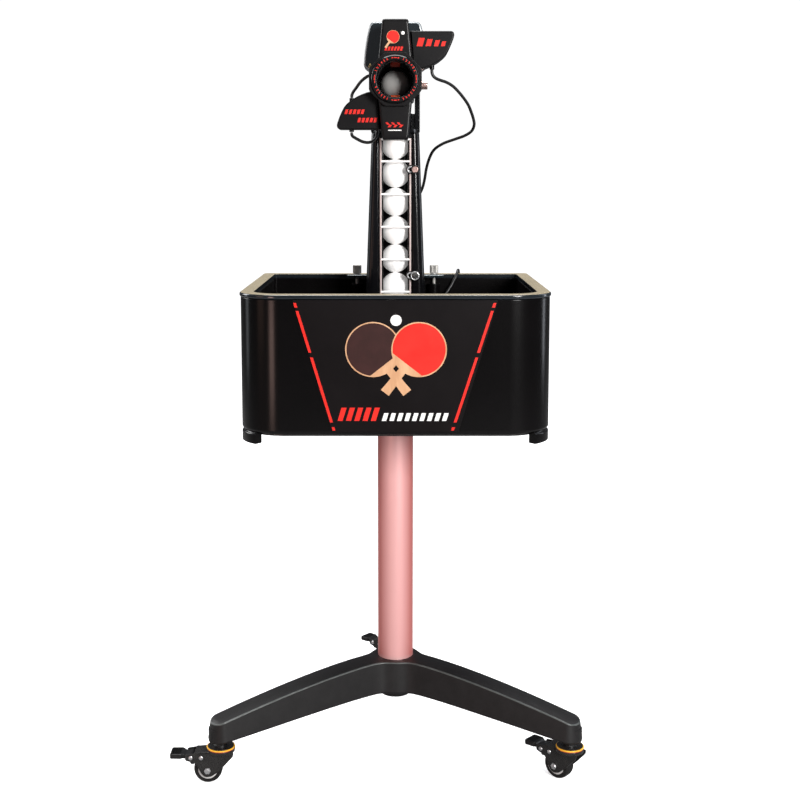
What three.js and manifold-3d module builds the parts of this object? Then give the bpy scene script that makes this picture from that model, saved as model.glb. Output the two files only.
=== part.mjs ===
// Table tennis robot on a three-legged caster stand. Millimetres, +Z up, nozzle facing -Y.
import * as THREE from 'three';
import { mergeVertices } from 'three/addons/utils/BufferGeometryUtils.js';
import Module from 'manifold-3d';

const wasm = await Module();
wasm.setup();

// Clearances and general values
const seat = 0.3; // gap between pieces that touch
const overrun = 4; // how far a cut passes the face it opens
const weld = 0.0005; // vertices nearer than this are one
const quarter = Math.PI / 2;
const roundSides = 20;
const fineSides = 28;
const pinSides = 8;
const smallSides = 12;

// Base casting and column
const columnRadius = 25;
const columnWall = 2;
const columnLength = 381.1;
const hubTop = 125;
const hubRadius = 38;
const hubDepth = 45;
const hubSocket = 30; // how deep the column sits in the hub
const bossRadius = 22;
const bossDepth = 11;
const legReach = 270; // column axis to caster axis
const legNose = 16; // leg beyond the caster axis
const legHalfWidth = 22.5;
const noseHalfWidth = 20;
const legDrop = 42; // hub top to nose top
const noseDepth = 26.4;
const legBelly = 2.2; // the underside keeps the hub's depth for longer
const legDraft = 3; // each side leans in by this much
const legEdge = 3;
const legArch = 1.45; // exponent of the arch
const legHeadings = [210, 330, 90]; // degrees, left, right, rear
const legStationShares = [0, 0.16, 0.32, 0.49, 0.66, 0.83, 1]; // of legReach
const noseAngles = [28, 56, 82]; // degrees round the nose
const padRadius = 16; // flat pad under the leg for the caster
const padBottom = 56.5;

// Casters
const wheelRadius = 19;
const wheelSides = 20;
const wheelHalfWidth = 8.5;
const wheelHubRadius = 12.8;
const wheelDish = 1.2; // hub recess
const wheelCrown = 1.6; // tyre falls by this at its edges
const casterTrail = 16.7;
const axleRadius = 3;
const boltRadius = 4.5;
const boltHead = 2.6;
const forkGap = 10.3; // wheel mid plane to the inside of a fork plate
const forkPlate = 2;
const swivelRadius = 19;
const swivelTop = 49.7;
const swivelBottom = 41.5;
const kingpinRadius = 5;
const kingpinHead = 8;
const kingpinHeadHeight = 3.4;
const studLength = 16;
const nutRadius = 9;
const rivetHeight = 36.5;
const rivetRadius = 3;
const rivetHead = 1.6;
const pedalPivot = 39; // swivel axis to pedal rivet
const guardRivet = 25;
const pedalPin = 2;
const pedalHub = 4;
const pedalReach = 67;
const pedalArm = 3.5; // thickness of the arm
const pedalPad = 6.5; // thickness of the toe pad
const pedalPadLength = 17;
const pedalHalfWidth = 12;
const shoeDrop = 9.5; // the brake shoe hangs this far below the rivet
const shoeReach = 4.6; // and reaches this far towards the tyre
const casterHeadings = [180, 138, 140]; // degrees, the way each caster trails
const casterNames = ['left', 'right', 'rear'];
// Fork plate outline: along, in shares of pedalPivot; up, in shares of swivelBottom
const forkOutlineShares = [
  [-0.46, 1.06], [-0.46, 0.93], [-0.04, 0.5], [0.13, 0.36], [0.32, 0.235], [0.54, 0.235],
  [0.68, 0.42], [0.83, 0.7], [1.19, 0.79], [1.19, 0.97], [0.64, 1.06],
];

// Ball bin
const binHalfWidth = 200;
const binFront = -180.5;
const binRear = 183.5;
const binHeight = 171.6;
const binWall = 17; // double wall, outside to inside
const binSkin = 3.5;
const frontCorner = 56;
const rearCorner = 6;
const leastCorner = 3;
const cornerSteps = 6;
const rearSteps = 2;
const floorHeight = 29; // top of the floor above the lower edge
const binFloor = 4;
const floorRise = 15; // the floor climbs this much from the rotor pit to the walls
const floorSpan = 42; // longest side of a floor facet at the walls
const pitRadius = 68;
const rimProud = 1.5;
const rimHeight = 6.1;
const rimEdge = 1.6;
const footHeight = 15;
const footWidth = 12;
const footNeck = 2.5;
const footFrontSpan = 21; // from the side wall
const footRearSpan = 30;
const panelTopHalf = 129;
const panelFootHalf = 80;
const panelThick = 1.2;
const panelMargin = 3.5;
const clampBossRadius = 9;
const clampBossDrop = 7.6; // below the top edge of the bin
const clampBossHeight = 22;

// Bin carrier plate on the column
const carrierThick = 4;
const carrierPost = 8; // radius of the posts that hold the bin floor
const postSpacing = 70;
const collarWall = 5;
const collarDepth = 22;

// Ball path, rotor and balls
const ballRadius = 20;
const ballGap = 0.2;
const ballRows = 7; // facets from pole to pole
const ballPerch = 36; // lowest ball's centre above the foot of the channel
const ballAxis = 58; // y of the ball column
const rotorRadius = 60;
const rotorPitch = 50;
const rotorPocket = 21.5;
const rotorPockets = 4;
const rotorHeight = 19.5;
const rotorHubRadius = 15;
const rotorHubHeight = 8;
const rotorLift = 0.5;
const spindleRadius = 4;
const spindleGap = 0.4;
const spindleLength = 20;
const gearCaseHalf = 22;
const gearMotorRadius = 9.5;
const gearMotorLength = 62;

// Tower
const towerFront = 30;
const towerRear = 112;
const towerHeight = 356;
const towerTopHalf = 33.4;
const towerFootHalf = 47;
const towerWall = 3;
const towerRoof = 4;
const towerEdge = 6;
const towerRearEdge = 4;
const rotorHeadroom = 3;
const boreRadius = 21;
const boreWall = 3;
const slotHalf = 17.25;
const lipRecessHalf = 24.5;
const channelHalf = 31.5;
const ringRadius = 18.5; // ring that holds the lowest ball
const ringHeight = 3;
const glandRadius = 4.5;
const glandLength = 6;

// Wire cage over the ball slot
const wireRadius = 1.5;
const wireSides = 6;
const railOffset = 20.7;
const railDrop = 7; // rail ends below the top of the tower
const railFoot = 12; // and above the foot of the channel
const rungDrop = 39; // first free rung below the top of the tower
const rungPitch = 45.8;
const latchOffset = 27.5;
const latchDrops = [50.4, 198.8]; // below the top of the tower
const latchKnobRadii = [5.4, 6.2];
const latchKnobLength = 7.5;
const latchPlate = 1.8;
const latchPlateRadius = 6;
const latchShank = 2.3;
const latchShankLength = 8;

// Clamp bracket and thumbscrews at the rear rim
const bracketThick = 4;
const bracketHalf = 73;
const bracketBar = 19.5;
const bracketArmHalf = 24;
const bracketTab = 30;
const screwOffset = 58;
const screwSetback = 7; // screw axis in front of the inner rear wall
const screwRadius = 2.5;
const screwHeadRadius = 6.5;
const screwHeadHeight = 14;
const screwLength = 26;

// Sweep: turntable, yoke and drive roller
const tableRadius = 34;
const tableThick = 6;
const guideRise = 28; // top of the ball guide above the tower
const guideWall = 3;
const yokeInner = 27.2;
const yokeThick = 7.3;
const yokeHalf = 12; // half depth of an arm and radius of its eye
const rollerRadius = 4.6;
const sweepMotorRadius = 11.5;
const sweepMotorLength = 44;
const sweepShaft = 1.5;

// Head, measured from the barrel axis
const headRise = 67.5; // barrel axis above the tower
const barrelBore = 23.5;
const barrelRadius = 27;
const journalGap = 0.4;
const flangeFront = -62;
const flangeThick = 5;
const flangeFlat = 35; // half the width across flats
const dialRadius = 31.7;
const dialFront = -68;
const dialEdge = 2;
const elbowFace = 8.5; // front of the tilting part
const journalEnd = 26;
const wheelPlane = -24; // y of the friction wheels
const spinRadius = 25;
const spinHalfWidth = 6.5;
const spinOffset = 43.5; // barrel axis to wheel axis
const spinTyre = 6;
const spinWeb = 4;
const spinHub = 8;
const spinBore = 2.8;
const windowGap = 1.5;
const windowHalfLength = 21;
const coverReach = 79;
const coverFront = -56.7;
const coverRear = 7.5;
const coverWall = 3;
const coverRootHalf = 22.7;
const coverTopHalf = 17.6;
const coverRoot = 20;
const coverBevel = 4;
const coverRearSlope = [17.5, 28.5]; // back, down
const coverTaper = 48; // the sides lean in above this height
const wingFront = -43;
const wingRear = -5;
const wingWall = 2.5;
const wingInner = 23.2;
const wingLength = 55.4;
const wingHeight = 64.8;
// Wing outline: along, in shares of wingLength; up, in shares of wingHeight
const wingOutlineShares = [
  [0, 0.3], [0.1, 0.21], [0.25, 0.236], [0.45, 0.3], [0.65, 0.4], [0.81, 0.52],
  [0.915, 0.7], [0.985, 0.86], [1, 0.92], [0.985, 0.97], [0.94, 1], [0, 1],
];
const motorRadius = 14;
const motorStart = 25;
const motorLength = 33;
const motorCap = 3;
const motorShaft = 2.5;
const shaftHole = 6;
const headGland = 3.2;
const barrelBallDrop = 3.2;
const barrelBallPlace = -1.5;

// Tilting elbow, its cover and the lock knob
const elbowHalf = 26;
const elbowTop = 24.5;
const elbowBottom = 24.5;
const elbowRear = 84;
const elbowChamfer = 13;
const elbowRing = 33;
const elbowRingEnd = 36;
const bendRadius = 24;
const bendSteps = 8;
const channelRadius = 21.5;
const trunnionRadius = 5;
const housingRear = 52;
const housingWall = 2.5;
const housingTop = 82.7;
const housingHalf = 43.7;
// Housing outline: across, in shares of housingHalf; up, in shares of housingTop
const housingOutlineShares = [
  [0.835, 0.205], [1, 0.27], [0.985, 0.42], [0.94, 0.62], [0.87, 0.82], [0.8, 0.95], [0.71, 1],
];
const knobRadius = 6;
const knobLength = 10.5;
const knobShank = 3;
const knobEdge = 0.8;

// Control box on the rear wall
const boxLeft = 55;
const boxWidth = 90;
const boxDepth = 38;
const boxRise = 39; // above the lower edge of the bin
const boxHeight = 86;
const boxEdge = 5;
const rockerWidth = 14;
const rockerHeight = 19;
const rockerDepth = 7;
const rockerTilt = 8; // degrees
const rockerGap = 1.2;
const rockerInset = 24;
const jackRadius = 5;
const jackDepth = 9;
const jackPin = 1.2;

// Leads
const leadRadius = 2.1;
const leadSides = 8;
const leadGap = 0.6; // lead end to gland
// Routes are hand-picked points: x, y, z, with z from the top of the tower
const headLeadRoute = [
  [49.2, -24, 82.6], [49.2, -24, 79.5], [50.5, -23.7, 75.3], [54.5, -22, 71.6], [61, -18, 69.2], [69, -12, 67],
  [78.3, -6, 62.1], [87.2, 0, 53.9], [94.7, 8, 45.7], [100.9, 16, 37.4], [105, 24, 29],
  [108.4, 32, 20.6], [110.3, 40, 12], [107.3, 50, 3.5], [98.5, 58, -2.5], [86, 66, -7],
  [67.1, 76, -13.9], [55, 87, -22.7], [48.5, 98, -35.7], [44.9, 106, -49.1], [42.6, 114, -64],
  [39.5, 120.5, -77], [34, 124.5, -88], [27.5, 124, -94.5], [24, 121, -96], [24, 118.4, -96],
];
// These two have z from the barrel axis
const shortLeadRoute = [
  [-31.4, -40, 6.5], [-35.5, -40, 6.1], [-41, -38, 3], [-47, -34, -2],
  [-52.5, -30, -9], [-57.2, -25.5, -15], [-58.8, -24, -19], [-58.8, -24, -22],
];
const loopLeadRoute = [
  [-59.1, -24, -68.3], [-59.1, -24, -70.9], [-58, -22, -73.3], [-55.3, -19, -75.1], [-51, -15, -77.5],
  [-45.5, -11, -80.1], [-39, -8, -81.4], [-33.6, -5, -80.6], [-29.1, -1.5, -77.5], [-26, 1.5, -72.9],
  [-25, 2.8, -68], [-24.6, 3, -63], [-22.6, 3, -58.9], [-20.9, 3, -57.5],
];
// This one has z from the foot of the bin
const binLeadRoute = [
  [24, 118.4, 119], [24.4, 123, 119.3], [28, 129, 121], [38, 136, 125], [51, 142, 131],
  [64, 147, 138], [75, 152, 148], [83, 156, 159], [88.5, 159, 169], [92, 162, 176.3],
  [93.7, 166.4, 181.8], [94.6, 172, 183], [95.4, 179, 183], [96.2, 185.6, 181.6],
  [97, 190.6, 175.5], [97.6, 192.6, 167], [98.2, 196, 155], [99, 200, 143], [100, 202, 135],
  [100, 202.5, 130.8],
];

// Finishes
const finish = (color, roughness, metalness) =>
  new THREE.MeshStandardMaterial({ color, roughness, metalness });
const castBlack = finish(0x2a2a2d, 0.75, 0.3);
const columnMetal = finish(0xe0b0aa, 0.35, 0.8);
const rubberBlack = finish(0x141212, 0.85, 0);
const pressedSteel = finish(0x2c2826, 0.4, 0.7);
const chrome = finish(0xc8c8cc, 0.15, 1);
const binBlack = finish(0x0c0b0d, 0.3, 0);
const rimGloss = finish(0xbfae8e, 0.25, 0.2);
const panelBlack = finish(0x1c1719, 0.55, 0);
const towerBlack = finish(0x09090b, 0.2, 0);
const headBlack = finish(0x171719, 0.5, 0);
const headGloss = finish(0x20282c, 0.25, 0);
const ballWhite = finish(0xf7f6f2, 0.45, 0);
const tyreRed = finish(0xe05a24, 0.7, 0);
const copper = finish(0xb07060, 0.3, 0.9);
const motorSteel = finish(0x8c8f92, 0.35, 0.9);
const rotorGrey = finish(0x50535a, 0.5, 0);

// Closed meshes: weld the points, drop empty triangles and turn the faces outwards
function closed(geometry) {
  const bare = new THREE.BufferGeometry();
  bare.setAttribute('position', geometry.getAttribute('position'));
  bare.setIndex(geometry.getIndex());
  const merged = mergeVertices(bare, weld);
  const { array } = merged.getAttribute('position');
  const point = (i) => new THREE.Vector3().fromArray(array, 3 * i);
  const faces = [];
  let volume = 0;
  for (let i = 0; i < merged.index.count; i += 3) {
    const [a, b, c] = merged.index.array.subarray(i, i + 3);
    if (a === b || b === c || c === a) continue;
    faces.push([a, b, c]);
    volume += point(a).dot(point(b).cross(point(c)));
  }
  merged.setIndex((volume < 0 ? faces.map((face) => face.reverse()) : faces).flat());
  return merged;
}

function solidOf(geometry) {
  const mesh = closed(geometry);
  const vertProperties = new Float32Array(mesh.getAttribute('position').array);
  const triVerts = new Uint32Array(mesh.index.array);
  return new wasm.Manifold(new wasm.Mesh({ numProp: 3, vertProperties, triVerts }));
}

function geometryOf(solid) {
  const mesh = solid.getMesh();
  const geometry = new THREE.BufferGeometry();
  geometry.setAttribute('position', new THREE.BufferAttribute(mesh.vertProperties, 3));
  geometry.setIndex(new THREE.BufferAttribute(mesh.triVerts, 1));
  geometry.computeVertexNormals();
  return geometry;
}

const join = (...parts) => geometryOf(parts.map(solidOf).reduce((whole, part) => whole.add(part)));
const cut = (body, ...tools) =>
  geometryOf(tools.map(solidOf).reduce((left, tool) => left.subtract(tool), solidOf(body)));
const common = (a, b) => geometryOf(solidOf(a).intersect(solidOf(b)));

// Basic forms
function rod(radius, low, high, sides = roundSides) {
  const form = new THREE.CylinderGeometry(radius, radius, high - low, sides);
  return form.rotateX(quarter).translate(0, 0, (low + high) / 2);
}
const rodZ = (radius, low, high, x, y, sides) => rod(radius, low, high, sides).translate(x, y, 0);
const rodX = (radius, low, high, y, z, sides) =>
  rod(radius, low, high, sides).rotateY(quarter).translate(0, y, z);
const rodY = (radius, low, high, x, z, sides) =>
  rod(radius, low, high, sides).rotateX(-quarter).translate(x, 0, z);

function box(x, y, z) {
  const form = new THREE.BoxGeometry(x[1] - x[0], y[1] - y[0], z[1] - z[0]);
  return form.translate((x[0] + x[1]) / 2, (y[0] + y[1]) / 2, (z[0] + z[1]) / 2);
}

// A profile of [radius, height] points turned about Z
function turned(profile, sides = roundSides) {
  const points = profile.map(([radius, height]) => new THREE.Vector2(radius, height));
  return closed(new THREE.LatheGeometry(points, sides).rotateX(quarter));
}

// An outline extruded along one axis; the outline's own axes are the other two, in order
const facings = {
  x: new THREE.Matrix4().set(0, 0, 1, 0, 1, 0, 0, 0, 0, 1, 0, 0, 0, 0, 0, 1),
  y: new THREE.Matrix4().set(1, 0, 0, 0, 0, 0, 1, 0, 0, 1, 0, 0, 0, 0, 0, 1),
  z: new THREE.Matrix4(),
};
function prism(axis, outline, low, high) {
  const shape = new THREE.Shape(outline.map(([a, b]) => new THREE.Vector2(a, b)));
  const form = new THREE.ExtrudeGeometry(shape, { depth: high - low, bevelEnabled: false });
  return closed(form.translate(0, 0, low).applyMatrix4(facings[axis]));
}

// Rings of equal point counts skinned into one body, with flat ends
function loft(rings) {
  const count = rings[0].length;
  const points = rings.flat();
  const faces = [];
  for (let r = 0; r + 1 < rings.length; r += 1) {
    for (let i = 0; i < count; i += 1) {
      const a = r * count + i;
      const b = r * count + ((i + 1) % count);
      faces.push(a, b, b + count, a, b + count, a + count);
    }
  }
  const ends = [[0, true], [(rings.length - 1) * count, false]];
  for (const [first, reversed] of ends) {
    const middle = new THREE.Vector3();
    for (let i = 0; i < count; i += 1) middle.addScaledVector(points[first + i], 1 / count);
    points.push(middle);
    for (let i = 0; i < count; i += 1) {
      const edge = [first + i, first + ((i + 1) % count)];
      faces.push(...(reversed ? edge.reverse() : edge), points.length - 1);
    }
  }
  const form = new THREE.BufferGeometry().setFromPoints(points);
  form.setIndex(faces);
  return closed(form);
}

function arc(x, y, radius, from, to, steps) {
  const step = (i) => THREE.MathUtils.degToRad(from + ((to - from) * i) / steps);
  return Array.from({ length: steps + 1 }, (_, i) => [
    x + radius * Math.cos(step(i)), y + radius * Math.sin(step(i)),
  ]);
}

const circle = (radius, sides) => arc(0, 0, radius, 0, 360, sides).slice(0, -1);

// A round section carried along a smooth curve through the given points
function tube(points, radius, steps, sides = leadSides) {
  const path = new THREE.CatmullRomCurve3(points, false, 'centripetal');
  const section = new THREE.Shape(circle(radius, sides).map(([a, b]) => new THREE.Vector2(a, b)));
  return closed(new THREE.ExtrudeGeometry(section, { steps, extrudePath: path }));
}

// The robot
const robot = new THREE.Group();

function add(name, geometry, material, parent = robot) {
  const mesh = new THREE.Mesh(geometry, material);
  mesh.name = name;
  parent.add(mesh);
  return mesh;
}

// Heights, from the hub up
const columnBottom = hubTop - hubSocket + seat;
const columnTop = columnBottom + columnLength;
const carrierTop = columnTop + seat + carrierThick;
const binBottom = carrierTop + seat;
const binTop = binBottom + binHeight;
const binFloorTop = binBottom + floorHeight;
const floorBottom = binFloorTop - binFloor;
const rimBottom = binTop + seat;
const rimTop = rimBottom + rimHeight;
const rotorBottom = binFloorTop + rotorLift;
const rotorTop = rotorBottom + rotorHeight;
const channelBottom = rotorTop + rotorHeadroom;
const towerBottom = binFloorTop + seat;
const towerTop = binFloorTop + towerHeight;
const roofBottom = towerTop - towerRoof;
const lowestBall = channelBottom + ballPerch;
const ballPitch = 2 * ballRadius + ballGap;
const tableBottom = towerTop + seat;
const tableTop = tableBottom + tableThick;
const guideTop = towerTop + guideRise;
const headAxis = towerTop + headRise;
const risen = (route, height) => route.map(([x, y, z]) => [x, y, z + height]);
const headLeadPoints = risen(headLeadRoute, towerTop);
const shortLeadPoints = risen(shortLeadRoute, headAxis);
const loopLeadPoints = risen(loopLeadRoute, headAxis);
const binLeadPoints = risen(binLeadRoute, binBottom);

// Base casting: three arched legs lofted out of a hub
const legTip = legReach + legNose;
const legTop = (s) =>
  hubTop - legDrop * Math.max(0, (s - hubRadius) / (legTip - hubRadius)) ** legArch;
const legBottom = (s) =>
  legTop(s) - hubDepth + (hubDepth - noseDepth) * (Math.max(0, s) / legTip) ** legBelly;

function legRing(s, half) {
  const edge = legEdge * Math.min(1, half / noseHalfWidth);
  const draft = legDraft * Math.min(1, half / noseHalfWidth);
  const top = legTop(s);
  const bottom = legBottom(s);
  const side = [
    [half - edge, bottom], [half, bottom + edge],
    [half - draft, top - edge], [half - draft - edge, top],
  ];
  const other = side.map(([n, z]) => [-n, z]).reverse();
  return [...side, ...other].map(([n, z]) => new THREE.Vector3(s, n, z));
}

function leg(heading) {
  const straight = legStationShares.map((share) =>
    legRing(share * legReach, legHalfWidth + (noseHalfWidth - legHalfWidth) * share));
  const nose = noseAngles.map((angle) => {
    const turn = THREE.MathUtils.degToRad(angle);
    return legRing(legReach + legNose * Math.sin(turn), noseHalfWidth * Math.cos(turn));
  });
  const pad = rodZ(padRadius, padBottom, legTop(legReach) - noseDepth / 2,
    legReach, 0, smallSides);
  const stud = rodZ(kingpinRadius + seat, padBottom - overrun, padBottom + studLength + seat,
    legReach, 0, smallSides);
  return cut(join(loft([...straight, ...nose]), pad), stud)
    .rotateZ(THREE.MathUtils.degToRad(heading));
}

const hubBottom = hubTop - hubDepth;
const hub = turned([
  [0, hubBottom - bossDepth], [bossRadius - legEdge, hubBottom - bossDepth],
  [bossRadius, hubBottom - bossDepth + legEdge], [bossRadius, hubBottom],
  [hubRadius, hubBottom + legEdge], [hubRadius, hubTop - legEdge],
  [hubRadius - legEdge, hubTop], [0, hubTop],
]);
const hubBore = rod(columnRadius + seat, hubTop - hubSocket, hubTop + overrun);
add('base_casting', cut(join(hub, ...legHeadings.map(leg)), hubBore), castBlack);

// Column
add('column_tube', turned([
  [columnRadius - columnWall, columnBottom], [columnRadius, columnBottom],
  [columnRadius, columnTop], [columnRadius - columnWall, columnTop],
  [columnRadius - columnWall, columnBottom],
]), columnMetal);

// Casters, each in a group turned to the way it trails
const wheelHeight = wheelRadius * Math.cos(Math.PI / wheelSides); // a flat of the tyre on the floor

function casterWheel() {
  const bore = axleRadius + seat;
  const side = [
    [bore, forkGap - seat], [wheelHubRadius, wheelHalfWidth - wheelDish],
    [wheelHubRadius + wheelDish, wheelHalfWidth], [wheelRadius - wheelCrown, wheelHalfWidth],
    [wheelRadius, wheelHalfWidth / 2],
  ];
  const mirror = side.map(([r, a]) => [r, -a]).reverse();
  return turned([...side, ...mirror, side[0]], wheelSides)
    .rotateZ(Math.PI / wheelSides).rotateX(-quarter).translate(casterTrail, 0, wheelHeight);
}

// The same form on both sides, between two distances from the middle plane
const bothSides = (near, far, form) =>
  [-1, 1].map((side) => form(Math.min(side * near, side * far), Math.max(side * near, side * far)));

function casterFork() {
  const outline = forkOutlineShares.map(([along, up]) => [along * pedalPivot, up * swivelBottom]);
  const outside = forkGap + forkPlate;
  const inPlate = forkGap + seat;
  const bolt = (low, high) => rodY(boltRadius, low, high, casterTrail, wheelHeight, 6);
  const rivet = (low, high) => rodY(rivetRadius, low, high, pedalPivot, rivetHeight, pinSides);
  const bore = rod(kingpinRadius + seat, swivelBottom - overrun, swivelTop + overrun, smallSides);
  return cut(
    join(
      rod(swivelRadius, swivelBottom, swivelTop),
      box([-kingpinRadius, pedalPivot - kingpinRadius], [-outside, outside],
        [swivelBottom, swivelBottom + forkPlate]),
      ...bothSides(forkGap, outside, (low, high) => prism('y', outline, low, high)),
      rodY(axleRadius, -outside, outside, casterTrail, wheelHeight, pinSides),
      rodY(pedalPin, -outside, outside, pedalPivot, rivetHeight, pinSides),
      ...bothSides(inPlate, outside + boltHead, bolt),
      ...bothSides(inPlate, outside + rivetHead, rivet),
      ...bothSides(inPlate, outside + rivetHead, (low, high) =>
        rivet(low, high).translate(guardRivet - pedalPivot, 0, 0)),
    ),
    bore,
  );
}

function casterPedal() {
  const reach = pedalReach - pedalPivot;
  const half = pedalArm / 2;
  const outline = [
    [-shoeReach, -shoeDrop], [0, -shoeDrop], [pedalHub, -half], [reach, -half],
    [reach, pedalPad - half], [reach - pedalPadLength, pedalPad - half],
    [reach - pedalPadLength - pedalArm, half], ...arc(0, 0, pedalHub, 30, 180, 6),
  ].map(([a, b]) => [a + pedalPivot, b + rivetHeight]);
  const inside = forkGap - seat;
  return cut(
    join(
      prism('y', outline, -inside, inside),
      box([pedalReach - pedalPadLength, pedalReach], [-pedalHalfWidth, pedalHalfWidth],
        [rivetHeight - half, rivetHeight + pedalPad - half]),
    ),
    rodY(pedalPin + seat, -pedalHalfWidth, pedalHalfWidth, pedalPivot, rivetHeight, smallSides),
  );
}

function casterStem() {
  const pinBottom = swivelBottom - seat - kingpinHeadHeight;
  return join(
    rod(kingpinRadius, pinBottom, padBottom + studLength, pinSides),
    rod(kingpinHead, pinBottom, swivelBottom - seat, pinSides),
    rod(nutRadius, swivelTop + seat, padBottom - seat, 6),
  );
}

casterNames.forEach((name, i) => {
  const caster = new THREE.Group();
  const heading = THREE.MathUtils.degToRad(legHeadings[i]);
  caster.position.set(legReach * Math.cos(heading), legReach * Math.sin(heading), 0);
  caster.rotation.z = THREE.MathUtils.degToRad(casterHeadings[i]);
  robot.add(caster);
  add(`${name}_caster_stem`, casterStem(), chrome, caster);
  add(`${name}_caster_fork`, casterFork(), pressedSteel, caster);
  add(`${name}_caster_wheel`, casterWheel(), rubberBlack, caster);
  add(`${name}_caster_pedal`, casterPedal(), rubberBlack, caster);
});

// Ball bin: a double-walled tray with round front corners and a dished floor
function trayOutline(inset) {
  const half = binHalfWidth - inset;
  const front = binFront + inset;
  const rear = binRear - inset;
  const round = Math.max(frontCorner - inset, leastCorner);
  const sharp = Math.max(rearCorner - inset, leastCorner);
  return [
    ...arc(half - round, front + round, round, -90, 0, cornerSteps),
    ...arc(half - sharp, rear - sharp, sharp, 0, 90, rearSteps),
    ...arc(sharp - half, rear - sharp, sharp, 90, 180, rearSteps),
    ...arc(round - half, front + round, round, 180, 270, cornerSteps),
  ];
}
const trayRing = (inset, z) => trayOutline(inset).map(([x, y]) => new THREE.Vector3(x, y, z));
const tray = (inset, low, high) => prism('z', trayOutline(inset), low, high);

// The floor falls from the inner walls to a round pit for the rotor
const rotorAxis = ballAxis - rotorPitch;
function floorFunnel() {
  const outline = trayOutline(binWall);
  const wall = outline.flatMap(([x, y], i) => {
    const [nextX, nextY] = outline[(i + 1) % outline.length];
    const parts = Math.ceil(Math.hypot(nextX - x, nextY - y) / floorSpan);
    return Array.from({ length: parts }, (_, k) => new THREE.Vector3(
      x + ((nextX - x) * k) / parts, y + ((nextY - y) * k) / parts, binFloorTop + floorRise));
  });
  const pit = wall.map(({ x, y }) => {
    const angle = Math.atan2(y - rotorAxis, x);
    return new THREE.Vector3(
      pitRadius * Math.cos(angle), rotorAxis + pitRadius * Math.sin(angle), binFloorTop);
  });
  return loft([pit, wall]);
}
const towerFoot = box([-towerFootHalf - seat, towerFootHalf + seat],
  [ballAxis, towerRear + seat], [binFloorTop, binFloorTop + floorRise * 2]);

// A foot follows the tray's corner, under a narrower neck
const footRing = (inset, low, high) =>
  cut(tray(inset, low, high), tray(footWidth, low - overrun, high + overrun));
const footForm = join(
  footRing(0, binBottom - footHeight, binBottom - footNeck),
  footRing(footNeck, binBottom - footNeck - seat, binBottom + binSkin + footNeck),
);
const feet = [-1, 1].flatMap((side) => [
  [binHalfWidth - footFrontSpan, [binFront, binFront + frontCorner]],
  [binHalfWidth - footRearSpan, [binRear - footRearSpan, binRear]],
].map(([inner, y]) => common(footForm, box(
  [Math.min(side * inner, side * binHalfWidth), Math.max(side * inner, side * binHalfWidth)],
  y, [binBottom - footHeight, binTop]))));

const innerRear = binRear - binWall;
const screwY = innerRear - screwSetback;
const clampBossTop = binTop - clampBossDrop;
const clampBosses = [-1, 1].flatMap((side) => [
  rodZ(clampBossRadius, clampBossTop - clampBossHeight, clampBossTop, side * screwOffset, screwY),
  box([side * screwOffset - clampBossRadius, side * screwOffset + clampBossRadius],
    [screwY, innerRear + binSkin / 2], [clampBossTop - clampBossHeight, clampBossTop]),
]);
const clampHoles = [-1, 1].map((side) =>
  rodZ(screwRadius + seat, clampBossTop - clampBossHeight - overrun, clampBossTop + overrun,
    side * screwOffset, screwY, smallSides));
const wallGroove = cut(tray(binSkin, binBottom - overrun, binTop - binSkin),
  tray(binWall - binSkin, binBottom - 2 * overrun, binTop));
const binBody = cut(
  loft([
    trayRing(binSkin, binBottom), trayRing(0, binBottom + binSkin), trayRing(0, binTop),
  ]),
  tray(binWall, binFloorTop + floorRise, binTop + overrun),
  floorFunnel(),
  tray(binSkin, binBottom - overrun, binFloorTop - binFloor),
  wallGroove, towerFoot,
  rodZ(spindleRadius + spindleGap, binFloorTop - floorRise, binFloorTop + overrun,
    0, rotorAxis, smallSides),
);
add('bin_shell', cut(join(binBody, ...feet, ...clampBosses), ...clampHoles), binBlack);

add('bin_rim', cut(
  loft([
    trayRing(0, rimBottom), trayRing(-rimProud, rimBottom + rimEdge),
    trayRing(-rimProud, rimTop - rimEdge), trayRing(rimEdge - rimProud, rimTop),
  ]),
  tray(binWall, rimBottom - overrun, rimTop + overrun),
), rimGloss);

const panelBack = binFront - seat;
const panelFoot = binBottom + panelMargin;
const panelTop = binTop - seat;
add('front_panel', prism('y', [
  [-panelFootHalf, panelFoot], [panelFootHalf, panelFoot],
  [panelTopHalf, panelTop], [-panelTopHalf, panelTop],
], panelBack - panelThick, panelBack), panelBlack);

// Carrier plate under the bin, with the collar that holds the column
const collarTop = columnTop + seat;
const posts = [-1, 1].flatMap((x) => [-1, 1].map((y) => rodZ(carrierPost, carrierTop - seat,
  floorBottom - seat, x * postSpacing, y * postSpacing, smallSides)));
add('bin_carrier', cut(
  join(
    tray(footWidth + seat, carrierTop - carrierThick, carrierTop),
    rod(columnRadius + seat + collarWall, collarTop - collarDepth, carrierTop - seat),
    ...posts,
  ),
  rod(columnRadius + seat, collarTop - collarDepth - overrun, collarTop),
), pressedSteel);

// Feed rotor with its spindle, and the geared motor under the floor
const pockets = Array.from({ length: rotorPockets }, (_, i) => {
  const angle = quarter + (i * 2 * Math.PI) / rotorPockets;
  return rodZ(rotorPocket, rotorBottom - overrun, rotorTop + overrun,
    rotorPitch * Math.cos(angle), rotorPitch * Math.sin(angle));
});
add('feed_rotor', join(
  cut(turned([
    [0, rotorBottom], [rotorRadius, rotorBottom], [rotorRadius, rotorTop - legEdge],
    [rotorRadius - legEdge, rotorTop], [rotorHubRadius, rotorTop],
    [rotorHubRadius / 2, rotorTop + rotorHubHeight], [0, rotorTop + rotorHubHeight],
  ], fineSides), ...pockets),
  rod(spindleRadius, rotorBottom - spindleLength, rotorBottom + overrun, smallSides),
).translate(0, rotorAxis, 0), rotorGrey);

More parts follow.
